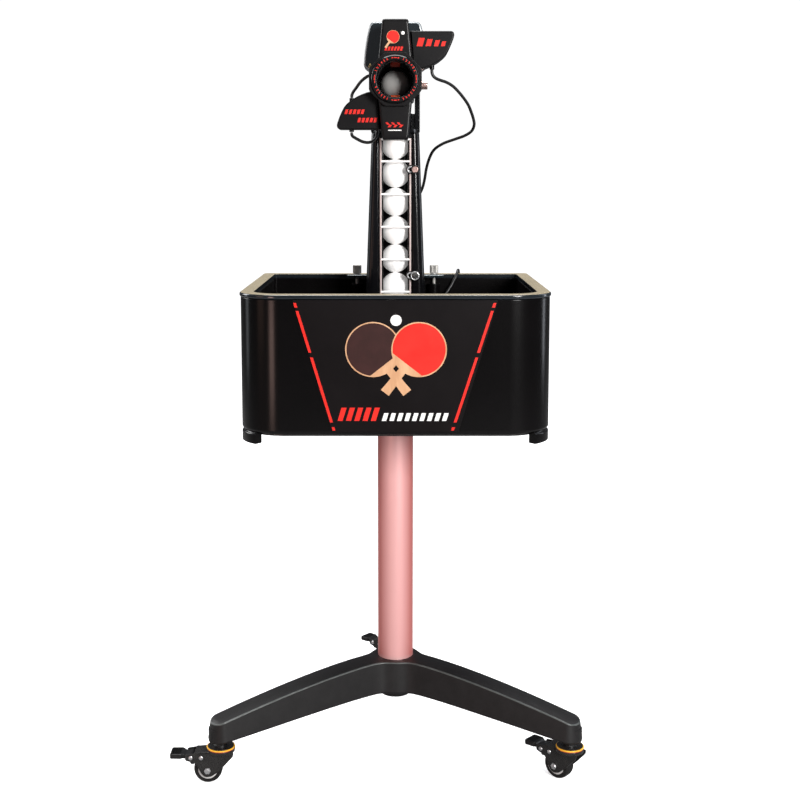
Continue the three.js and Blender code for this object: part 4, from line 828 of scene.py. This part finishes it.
# Four times a rim arc, then the inner side of a round pocket.
def rotorOutline():
    radius, pitch, pocket = (feedRotor[key] for key in ("radius", "pitch", "pocket"))
    reach = np.degrees(np.arccos((radius**2 + pitch**2 - pocket**2) / (2 * radius * pitch)))
    mouth = np.degrees(np.arctan2(radius * sin(radians(reach)), radius * cos(radians(reach)) - pitch))
    rim = arc(0, 0, radius, reach, 90 - reach, 16)[1:-1]
    piece = np.vstack([arc(pitch, 0, pocket, 360 - mouth, mouth, 40), rim])
    turns = [np.array([[cos(a), sin(a)], [-sin(a), cos(a)]]) for a in np.arange(4) * pi / 2]
    return np.vstack([piece @ turn for turn in turns]) + [0, feedRotor["y"]]


rotorHub = rod("z", feedRotor["hub"], 529, 534, (0, feedRotor["y"], 0), 2, 64, dome=4)
rotorForm = slab("z", rotorOutline(), feedRotor["low"], feedRotor["high"], 1.6)
makePiece("feed_wheel", [rotorForm, rotorHub], "rotorPlastic", "feed_rotor", "feed_rotor")

# Tower
tower = {
    "front": 30, "rear": 112, "low": 533, "high": 866, "foot": 510.3, "topHalf": 33.4, "footHalf": 47, "slot": 17.25,
    "lip": 24.5, "lipFace": 33.8, "bore": 21, "ball": 58, "heelHalf": 46, "heelFront": 76, "rimStep": 1.2,
}


# The tower seen from above at a height: a tapered box with the ball bore and its front slot cut in.
def towerOutline(z):
    w = tower
    half = w["topHalf"] + (w["footHalf"] - w["topHalf"]) * (w["high"] - z) / (w["high"] - w["foot"])
    cutAt = w["ball"] - sqrt(w["bore"] ** 2 - w["slot"] ** 2)
    soft = softened([
        [0, w["rear"]], [half - 4, w["rear"]], [half, w["rear"] - 4], [half, w["front"] + 6], [half - 6, w["front"]],
        [w["lip"], w["front"]], [w["lip"], w["lipFace"]], [w["slot"], w["lipFace"]], [w["slot"], cutAt], [0, cutAt],
    ], [0, 3, 3, 5, 5, 0.8, 0.5, 0.8, 0, 0], 6, False)[:-1]
    start = np.degrees(np.arctan2(cutAt - w["ball"], w["slot"]))
    bore = arc(0, w["ball"], w["bore"], start, 180 - start, 48)[1:-1]
    return np.vstack([soft, bore, soft[::-1][:-1] * [-1, 1]])


def towerParts():
    w, last = tower, tower["high"] - tower["rimStep"]
    heights = np.r_[w["low"], np.linspace(w["low"] + 1, last, 12)]
    rows = [along("z", towerOutline(z), z) for z in heights]
    crown = distinct(towerOutline(w["high"]))
    rows += [along("z", inset(crown, d), last + h) for d, h in ((0.15, 0.6), (0.45, 1.0), (0.9, w["rimStep"]))]
    heel = softened(bothSides([[w["heelHalf"], w["heelFront"]], [w["heelHalf"], w["rear"]]]), 4)
    gland = softened([[2.3, 112], [4.5, 112], [4.5, 114], [3.2, 118], [2.3, 118]], 0.4, 3)
    glands = [turned("y", gland, (leadRoutes["bin"][0][0], 0, z), 40, True, 1) for z in (770, 600)]
    return [grid(np.stack(rows)), slab("z", heel, w["foot"], w["low"] + 1, 0.6), *glands]


towerTones = ["towerGloss", "tyreRubber"]
makePiece("tower_moulding", towerParts(), towerTones, "stand", "tower_housing", angle=32)

cage = {
    "x": 20.7, "y": 32, "low": 545, "high": 859, "wire": 1.5, "topRung": 857.5, "rung": 827, "pitch": 45.8, "count": 7,
}
rungHeights = [cage["topRung"]] + [cage["rung"] - cage["pitch"] * i for i in range(cage["count"])]
rails = [rod("z", cage["wire"], cage["low"], cage["high"], (x, cage["y"], 0), 0.5, 20) for x in (-cage["x"], cage["x"])]
# The rungs take the near-white glowing finish: a painted highlight on wire like the rails
rungs = [rod("x", cage["wire"], -cage["x"], cage["x"], (0, cage["y"], z), 0.3, 20, 1) for z in rungHeights]
makePiece("cage_wires", rails + rungs, ["railSteel", "rungPaintedGlint"], "stand", "ball_cage")

# Each latch: its height, the radius of its bright face, the width of its ring, the metals of both, and its slot
latches = {
    "upper": (815.6, 4.3, 1.2, "copper", "tyreRubber", "copper"),
    "lower": (667.2, 4.9, 1.3, "chrome", "zinc", "bright_metal"),
}
latch = {"x": 27.5, "tongue": 6, "plate": (27.9, 29.7), "back": 28.1}
for name, (z, face, band, metal, bandMetal, slotName) in latches.items():
    hub, (near, far) = (latch["x"], 0, z), latch["plate"]
    ends = arc(latch["x"], z, latch["tongue"], -90, 90, 20), arc(cage["x"], z, latch["tongue"], 90, 270, 20)
    parts = [
        slab("y", np.vstack(ends), near, far, 0.4, finish=1), rod("y", face, 20.9, latch["back"], hub, 0.3, 64),
        ring("y", face - 0.02, face + band, 20.7, latch["back"], hub, 0.45, 120, 2, (36, 0.12)),
        ring("y", 2.6, 4.6, 27.1, near + 0.05, (cage["x"], 0, z), 0.35, 48, 3),
        rod("y", 2.3, near, 38, hub, 0.4, 32, 3),
    ]
    metals = [metal, "forkSteel", bandMetal, "zinc"]
    makePiece(f"{name}_latch_knob", parts, metals, f"{name}_latch", f"cage_latch_{name}")

# Balls: each seam tips by turn more than the one below
axisZ = 933.5
ball = {"radius": 20, "low": 569, "pitch": 40.2, "tip": 0.5, "turn": 1.3, "loaded": (0, -1.5, axisZ - 3.2)}
for i in range(8):
    form = sphere((0, tower["ball"], ball["low"] + ball["pitch"] * i), ball["radius"], ball["tip"] + ball["turn"] * i)
    makePiece(f"queued_ball_{i + 1}", [form], "ballPlastic", "ball_stack", f"ball_{i + 1}")
# The loaded ball is white like the others; its grey finish is a painted shade of the barrel's bore
loaded = sphere(ball["loaded"], ball["radius"], 1.0)
makePiece("next_ball", [loaded], "ballShade", "loaded_ball", "ball_in_barrel")

# Clamp bracket and thumbscrews
bracket = {"low": 654.7, "high": 658.7, "front": 145.95, "rear": 165.45, "half": 73, "arm": 24, "tab": 628.7}
endRadius, back = (bracket["rear"] - bracket["front"]) / 2, tower["rear"] + 0.3
ends = [arc(bracket["half"] - endRadius, bracket["front"] + endRadius, endRadius, -90, 90, 28)]
arm = (-bracket["arm"], bracket["arm"])
# The plate's upper rim rows take the pale edge finish: a painted highlight line
makePiece("clamp_plate", [
    slab("z", bothSides(*ends), bracket["low"], bracket["high"], 0.7, finish=np.repeat([0, 1], [5, 4])),
    block(arm, (back, 160), (bracket["low"], bracket["high"] - 0.02), 0.6, 0.6),
    block(arm, (back, back + 4), (bracket["tab"], bracket["high"] - 0.04), 0.6, 0.6, "y"),
], ["housingGloss", "paintedEdgeHighlight"], "stand", "clamp_bracket")
for name, x in (("left", -tray["screwX"]), ("right", tray["screwX"])):
    spot = (x, tray["screwY"], 0)
    parts = [
        ring("z", 0.01, 6.35, 661, 672.9, spot, 0.8, 128, 0, (28, 0.22)), rod("z", 4.4, 672, 673, spot, 0.3, 48),
        ring("z", 1, 5.6, 659.1, 661.2, spot, 0.3, 64), rod("z", 2.5, 633, 662, spot, 0.4, 32),
    ]
    body, node = f"{name}_thumbscrew", f"thumbscrew_{name}"
    makePiece(f"{name}_thumbscrew_knurled", parts, "satinNickel", body, node)
print("tower made")

# Sweep drive; y is the turntable's axis, and the motor's roller stands behind it
sweep = {
    "y": 58, "bore": 21.3, "table": 34, "low": 866.3, "top": 872.3, "guide": 894, "inner": 27.2, "outer": 34.5,
    "eye": 12, "roller": 96.9,
}
middle, high = (0, sweep["y"], 0), sweep["top"]
armOutline = np.vstack([arc(sweep["y"], axisZ, sweep["eye"], 0, 180, 40), [[46, 868]], [[70, 868]]])
yokeParts = [
    ring("z", sweep["bore"], sweep["table"], sweep["low"], high, middle, 1.0, 128),
    ring("z", sweep["bore"], 24.3, high - 1, sweep["guide"], middle, 0.8, 96),
    slab("x", armOutline, sweep["inner"], sweep["outer"], 1.0),
    slab("x", armOutline, -sweep["outer"], -sweep["inner"], 1.0),
    *[block(span, (50, 66), (high - 0.6, sweep["guide"] - 0.5), 0.5, 0.5) for span in ((23.2, 27.9), (-27.9, -23.2))],
]
pins = [rod("x", radius, *span, (0, sweep["y"], axisZ)) for radius, span in ((3.3, (20, 40)), (5.3, (-40, -20)))]
makePiece("sweep_yoke_form", yokeParts, "towerGloss", "turntable", "sweep_yoke", cuts=pins)
rollers = [
    rod("z", radius, *span, (0, sweep["roller"], 0), edge, sides)
    for radius, span, edge, sides in ((4.6, (sweep["low"], high), 0.8, 48), (1.5, (862, 867), 0.2, 24))]
makePiece("sweep_roller_form", rollers, "tyreRubber", "drive_roller", "sweep_roller")

# Head: elbow, rear cover and knob; axis is a point on the axis of the roll, tilt one on that of the tilt
axis, tilt = (0, 0, axisZ), (0, sweep["y"], axisZ)
elbowOutline = [[30, -24.5], [77.5, -24.5], [84, -18], [84, 11.5], [71, 24.5], [30, 24.5]]
elbowOutline = softened(elbowOutline, [0, 3, 3, 4, 4, 0], 6) + [0, axisZ]
ballWay = np.vstack([[0, sweep["y"], -30], np.c_[np.zeros(13), arc(34, -24, 24, 0, 90, 13)], [0, 0, 0]]) + axis
makePiece("elbow_form", [
    slab("x", elbowOutline, -26, 26, 2.2), ring("y", 27.4, 33, 8.5, 36, axis, 0.8, 128),
    rod("x", 5, -34.4, -25, tilt, 0.5),
], "headPlastic", "tilt_head", "elbow", cuts=[tube(ballWay, 21.5, (1, 0, 0), 64, ends=0)])

housingSide = [[36.5, 17], [43.7, 22.3], [43, 34.7], [41.1, 51.3], [38, 67.8], [35, 78.6], [31, 82.7]]
housingCuts = [1.5, 4, 6, 8, 8, 5, 4]
housingOutline = softened(bothSides(housingSide), housingCuts + housingCuts[::-1], 8) + [0, axisZ]
# The front rim rows take the pale edge finish: a painted highlight line on the dark housing
housingFinish = np.r_[0, 2, 2, np.zeros(10, int)]  # a pale line on the front rim
housingForm = slab("y", housingOutline, 8.5, 52, 3.2, 6, housingFinish)
makePiece(
    "rear_cover_form", [housingForm], ["housingGloss", "gold", "paintedEdgeHighlight"], "tilt_head", "head_cover_rear",
    added=[rod("y", 2.6, 7.6, 9, (-34.4, 0, 956), 0.3, 32, 1)],
    cuts=[rod("y", 33.3, 0, 36.3, axis, 0.1, 128), block((-26.3, 26.3), (30, 60), (900, axisZ + 24.8), 0.1, 0.05)])
knob = [ring("x", 0.01, 5.9, 34.9, 45.2, tilt, 0.8, 96, 0, (24, 0.06)), rod("x", 3, 22.3, 36, tilt, 0.4, 32)]
makePiece("lock_knob_form", knob, "copper", "lock_knob", "tilt_knob")

# Head: spinning part
spinHead = {
    "flat": 35, "front": -62, "back": -57, "bore": 23.5, "tube": 27, "dial": 31.7, "dialFront": -68,
    "wheel": (0, -24, 43.5),
}
octagon = softened(arc(0, axisZ, spinHead["flat"] / cos(pi / 8), 22.5, 337.5, 8), 3, 6)
windows = [block((-8, 8), (-45, -3), sorted((axisZ + side * 12, axisZ + side * 40)), 1, 0.4) for side in (-1, 1)]
bore, dial, dialFront = (spinHead[key] for key in ("bore", "dial", "dialFront"))
makePiece("barrel_form", [
    slab("y", octagon, spinHead["front"], spinHead["back"], 1.0), rod("y", spinHead["tube"], -61, 25.7, axis, 0.6, 128),
    rod("x", 3.2, -31, -25, (0, -40, 940), 0.5, 32),
], "headPlastic", "spin_head", "barrel", cuts=[rod("y", bore, -70, 30, axis, 0, 128), *windows])
dialProfile = [[bore, -66], [25.5, dialFront], [29.7, dialFront], [dial, -66], [dial, -62.3], [bore, -62.3]]
dialProfile = softened(dialProfile, [0.8, 0.8, 0.8, 0.8, 0.4, 0.4], 5)
dialRadius = middles(dialProfile)[:, 0]
dialFinish = np.where((dialRadius < 25.2) | (dialRadius > 30.2), 2, 0)  # glossy bevels
# The scale: short dashes of (shift, half length) along the ring at each quarter, and plain numbers in between,
# in degrees from it
scale = {
    "radius": 27.6, "dashes": ((-4, 1.1), (0, 2), (4, 1.1)), "half": 0.6, "size": 4.2, "first": 22.5, "step": 9,
    "count": 6, "proud": 0.05,
}


# Numbers as thin raised type: the text's own x runs along the ring, and its y outwards.
def numeral(words):
    curve = bpy.data.curves.new("numeral", "FONT")
    curve.body, curve.size, curve.extrude, curve.resolution_u = words, scale["size"], scale["proud"], 2
    curve.align_x, curve.align_y, curve.offset = "CENTER", "CENTER", 0.1
    holder = linked("numeral", curve)
    mesh = shownMesh(holder)
    bpy.data.objects.remove(holder)
    return np.array([vertex.co for vertex in mesh.vertices]), [list(face.vertices) for face in mesh.polygons]


def dialScale():
    parts, radius = [], scale["radius"]
    for quarter in np.arange(4) * pi / 2:
        for shift, length in scale["dashes"]:
            a = quarter + shift / radius
            spot, half = (radius * cos(a), axisZ + radius * sin(a)), (scale["half"], length)
            parts.append(smallBar("y", spot, a, half, dialFront - scale["proud"], dialFront + 0.1, 1))
        for i in range(scale["count"]):
            a = quarter + radians(scale["first"] + scale["step"] * i)  # the type's top points away from the axis
            points, faces = numeral(str(scale["count"] - i))
            x, out = points[:, 0], radius + points[:, 1]
            face = [x * sin(a) + out * cos(a), dialFront - points[:, 2], axisZ + out * sin(a) - x * cos(a)]
            parts.append((np.stack(face, -1), faces, 1))
    return parts


dialParts = [turned("y", dialProfile, axis, 160, True, dialFinish), *dialScale()]
dialTones = ["dialPlastic", "printRed", "towerGloss"]
makePiece("spin_dial_form", dialParts, dialTones, "spin_head", "spin_dial")

coverShape = {
    "front": -56.7, "rear": 7.5, "low": 16, "reach": 79, "rootHalf": 22.7, "topHalf": 17.6, "slope": (17.5, 28.5),
}


# Rounded rectangles stacked upwards: half width, front and back each fall in as the height grows.
def coverForm():
    c, (fall, slope) = coverShape, coverShape["slope"]
    z = np.r_[c["low"], np.linspace(20, 75, 24), 76.5, 77.6, 78.4, 78.85, c["reach"]]
    half = c["rootHalf"] + (c["topHalf"] - c["rootHalf"]) * np.clip((z - 24) / 53, 0, 1)
    close = 2.6 * (1 - np.sqrt(1 - np.clip((z - 75) / 4, 0, 1) ** 2))
    rear = c["rear"] - fall * np.clip((z - c["reach"] + slope) / slope, 0, 1)
    rows = []
    for h, front, back, at in zip(half - close, c["front"] + close, rear - close, z):
        outline = softened([[-h, front], [h, front], [h, back], [-h, back]], [3.5, 3.5, 4, 4], 6)
        rows.append(along("z", outline, at))
    return grid(np.stack(rows))


wingShares = np.array([
    [0, 0.3], [0.1, 0.21], [0.25, 0.236], [0.45, 0.3], [0.65, 0.4], [0.81, 0.52],
    [0.915, 0.7], [0.985, 0.86], [1, 0.92], [0.985, 0.97], [0.94, 1], [-0.068, 1],
]) * [55.4, 64.8] + [23.2, 0]
wingOutline = softened(wingShares, [0.5, 3, 4, 5, 5, 5, 5, 4, 2, 1.5, 2, 0.5], 6)
wingFace = -43
spinTyre = softened(bothEnds([[19, -6.5], [25, -6.5]]), [0.5, 1.6, 1.6, 0.5], 5)
spinWeb = softened(bothEnds([[2.8, -6.5], [8, -6.5], [8, -2], [19.4, -2]]), 0.6, 4)
wheelSpot = spinHead["wheel"]
spinWheel = [turned("x", spinTyre, wheelSpot, 96, True), turned("x", spinWeb, wheelSpot, 64, True, 1)]
# Each half: whether it is turned over, its tyre's tone (the upper one a painted shade of the same rubber), and its lead
# glands as (low, high, x)
for name, flip, rubber, glands in (
    ("upper", False, "spinRubberPaintedShade", [(15.4, 21, 49.2)]),
    ("lower", True, "spinRubber", [(22.4, 30, 58.8), (60, 67.7, 59.1)]),
):
    wing = [slab("y", wingOutline, wingFace, -5, 2.2, 6)]
    wing += [rod("z", 3.2, low, high, (x, -24, 0), 0.5, 32) for low, high, x in glands]
    cover, wing, wheel = (moved(parts, 0, axis, flip) for parts in ([coverForm()], wing, spinWheel))
    bore = [rod("y", 27.3, -80, 30, axis, 0, 128)]
    makePiece(f"{name}_cover_form", cover, "headPlastic", "spin_head", f"{name}_cover", cuts=bore)
    makePiece(f"{name}_wing_form", wing, "headPlastic", "spin_head", f"{name}_wing")
    tones = [rubber, "rotorPlastic"]
    makePiece(f"{name}_spin_tyre", wheel, tones, f"{name}_spin_wheel", f"{name}_friction_wheel")
print("head made")

# Nodes that stay
nodeFinishes = {
    "bin_carrier": "forkSteel", "control_box": "headPlastic", "power_switch": "pedalPlastic",
    **{f"{name}_motor": "motorSteel" for name in ("feed", "sweep", "upper", "lower")},
}
for nodeName, finishName in nodeFinishes.items():
    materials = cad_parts[nodeName].data.materials
    materials.clear()
    materials.append(finishes[finishName])


# Printed marks: plain motifs and slanted bars, each a thin closed outline with its ink on its own layer
def printed(name, marks, body, face):
    inks = ["printRed", "printWhite", "printWood", "printDark"]
    parts = [slab("y", outline, face - 0.02 * (layer + 1), face + 0.1, 0.01, 1, ink) for outline, ink, layer in marks]
    makePiece(name, parts, inks, body, None)


# A bar that leans to the right, level at both ends; lean is its shift per height.
def bar(x, z, width, height, lean=0.3):
    shift = lean * height
    return [[x, z], [x + width, z], [x + width + shift, z + height], [x + shift, z + height]]


def bars(x, z, width, height, pitch, count, ink):
    return [(bar(x + pitch * i, z, width, height), ink, 0) for i in range(count)]


def disc(x, z, radius, count=49):
    return arc(x, z, radius, 0, 360, count)[:-1]


# A table tennis bat: wooden blade edge, handle and throat, and a round rubber.
def bat(x, z, radius, heading, rubber, layer):
    way = np.array([cos(radians(heading)), sin(radians(heading))])
    side = np.array([-way[1], way[0]])
    handle = [way * 0.9 - side * 0.14, way * 2 - side * 0.18, way * 2 + side * 0.18, way * 0.9 + side * 0.14]
    wide = np.degrees(np.arccos(0.72))
    face = arc(x, z, radius * 0.955, heading + wide, heading + 360 - wide, 64)
    handle = np.array(handle) * radius + [x, z]
    return [(disc(x, z, radius, 73), 2, layer), (handle, 2, layer + 1), (face, rubber, layer + 2)]


panelPrint = []
for x0, x1 in ((-126.2, -77.5), (125.0, 72.4)):  # a broken line down each slanted side
    at = lambda z: x0 + (x1 - x0) * (649 - z) / (649 - 486.6)
    for a, b in ((649, 643), (639, 586), (580, 497), (491, 486.6)):
        panelPrint.append(([[at(a) - 1.8, a], [at(a) + 1.8, a], [at(b) + 1.8, b], [at(b) - 1.8, b]], 0, 0))
panelPrint += bat(-28, 590, 35, 308, 3, 0) + bat(30, 590, 35, 232, 0, 3) + [(disc(1, 627, 7), 1, 0)]
panelPrint += bars(-73, 499, 6.5, 17, 10.5, 5, 0) + bars(-17, 499, 5.5, 10, 9.5, 9, 1)
coverPrint = bat(-3, 989, 8.6, 235, 0, 0) + [(disc(10, 994, 2.3), 1, 0)] + bars(-14.5, 971, 2.8, 5.4, 4.1, 6, 0)
coverPrint += [(bar(x, z, 3.4, 3.2, lean), 0, 0) for x in (-10.5, -3, 4.5) for z, lean in ((874.2, -0.9), (871, 0.9))]
coverPrint += [(bar(-10, 866.4, 18, 1.3), 1, 0)]
wingPrint = [(bar(x, 978, *size), 0, 0) for x, *size in ((28, 8, 11), (40, 7, 9.5), (51, 6, 8), (60.5, 5, 6.5))]
wingPrint += bars(-68, 889, 3.6, 6, 5.4, 5, 0) + bars(-51, 878, 3.6, 6, 5.4, 5, 0)
printed("panel_print", panelPrint, "stand", panelSheet["face"])
printed("cover_print", coverPrint, "spin_head", coverShape["front"])
printed("wing_print", wingPrint, "spin_head", wingFace)
print("printed marks made")


# Floor and light
def newNodes(tree, *kinds):
    return [tree.nodes.new(f"ShaderNode{kind}") for kind in kinds]


# White paper for the camera, with more light of its own far from the part; a grey table for every other ray
def floorPaper():
    material = bpy.data.materials.new("paleFloor")
    material.use_nodes = True
    tree = material.node_tree
    link, seen = tree.links.new, tree.nodes["Principled BSDF"]
    other, mixer, path = newNodes(tree, "BsdfPrincipled", "MixShader", "LightPath")
    place, length = newNodes(tree, "TexCoord", "VectorMath")
    for shader, tone in ((seen, 0.9), (other, 0.28)):
        shader.inputs["Base Color"].default_value = (tone, tone, tone, 1)
        shader.inputs["Roughness"].default_value = 0.9
        shader.inputs["Specular IOR Level"].default_value = 0.2
    length.operation = "LENGTH"
    link(place.outputs["Object"], length.inputs[0])
    seen.inputs["Emission Color"].default_value = (1, 1, 1, 1)
    link(rangeNode(tree, length.outputs["Value"], 0.9, 2.6, 0.62, 1.0), seen.inputs["Emission Strength"])
    link(path.outputs["Is Camera Ray"], mixer.inputs["Fac"])
    link(other.outputs["BSDF"], mixer.inputs[1])
    link(seen.outputs["BSDF"], mixer.inputs[2])
    link(mixer.outputs["Shader"], tree.nodes["Material Output"].inputs["Surface"])
    return material


floor = linked("floor", bpy.data.meshes.new("floor"))
floor.data.from_pydata([(12 * x, 12 * y, 0) for x, y in ((-1, -1), (1, -1), (1, 1), (-1, 1))], [], [(0, 1, 2, 3)])
floor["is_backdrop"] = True
floor.data.materials.append(floorPaper())

world = bpy.data.worlds.new("studio")
bpy.context.scene.world = world
world.use_nodes = True
tree = world.node_tree
tree.nodes.clear()
output, mixer, path = newNodes(tree, "OutputWorld", "MixShader", "LightPath")
for socket, colour, strength in ((1, (0.62, 0.64, 0.68, 1), 0.25), (2, (1, 1, 1, 1), 1.05)):
    background = tree.nodes.new("ShaderNodeBackground")
    background.inputs["Color"].default_value = colour
    background.inputs["Strength"].default_value = strength
    tree.links.new(background.outputs["Background"], mixer.inputs[socket])
tree.links.new(path.outputs["Is Camera Ray"], mixer.inputs[0])
tree.links.new(mixer.outputs["Shader"], output.inputs["Surface"])

# Each lamp: place, height of the aim on the column's axis, size, power and colour
lamps = {
    "keyLamp": ((1.15, -2.35, 1.25), 0.6, (0.7, 0.9), 92, (1, 0.99, 0.98)),
    "lowLamp": ((-1.3, -2.3, 0.3), 0.35, (0.5, 0.4), 5.5, (1, 0.66, 0.58)),
    "fillLamp": ((-2.2, -1.4, 1.0), 0.5, (0.8, 1.4), 4, (1, 0.62, 0.48)),
    "rearLamp": ((-2.3, 1.1, 1.6), 0.6, (0.9, 1.2), 34, (1, 1, 1)),
    "topLamp": ((0, 0.4, 3.0), 0.5, (2.0, 2.0), 110, (1, 1, 1)),
    "leftStrip": ((-1.5, 0.3, 1.1), 0.7, (0.3, 1.6), 2.5, (0.88, 0.94, 1)),
    "rightStrip": ((1.6, 0.4, 1.1), 0.7, (0.3, 1.6), 6, (0.88, 0.92, 1)),
}
for name, (place, aim, size, power, colour) in lamps.items():
    data = bpy.data.lights.new(name, "AREA")
    data.shape = "RECTANGLE"
    (data.size, data.size_y), data.energy, data.color = size, power, colour
    light = linked(name, data)
    light.visible_camera = False
    light.location = place
    light.rotation_euler = (Vector((0, 0, aim)) - light.location).to_track_quat("-Z", "Y").to_euler()
print("light set")

low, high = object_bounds()
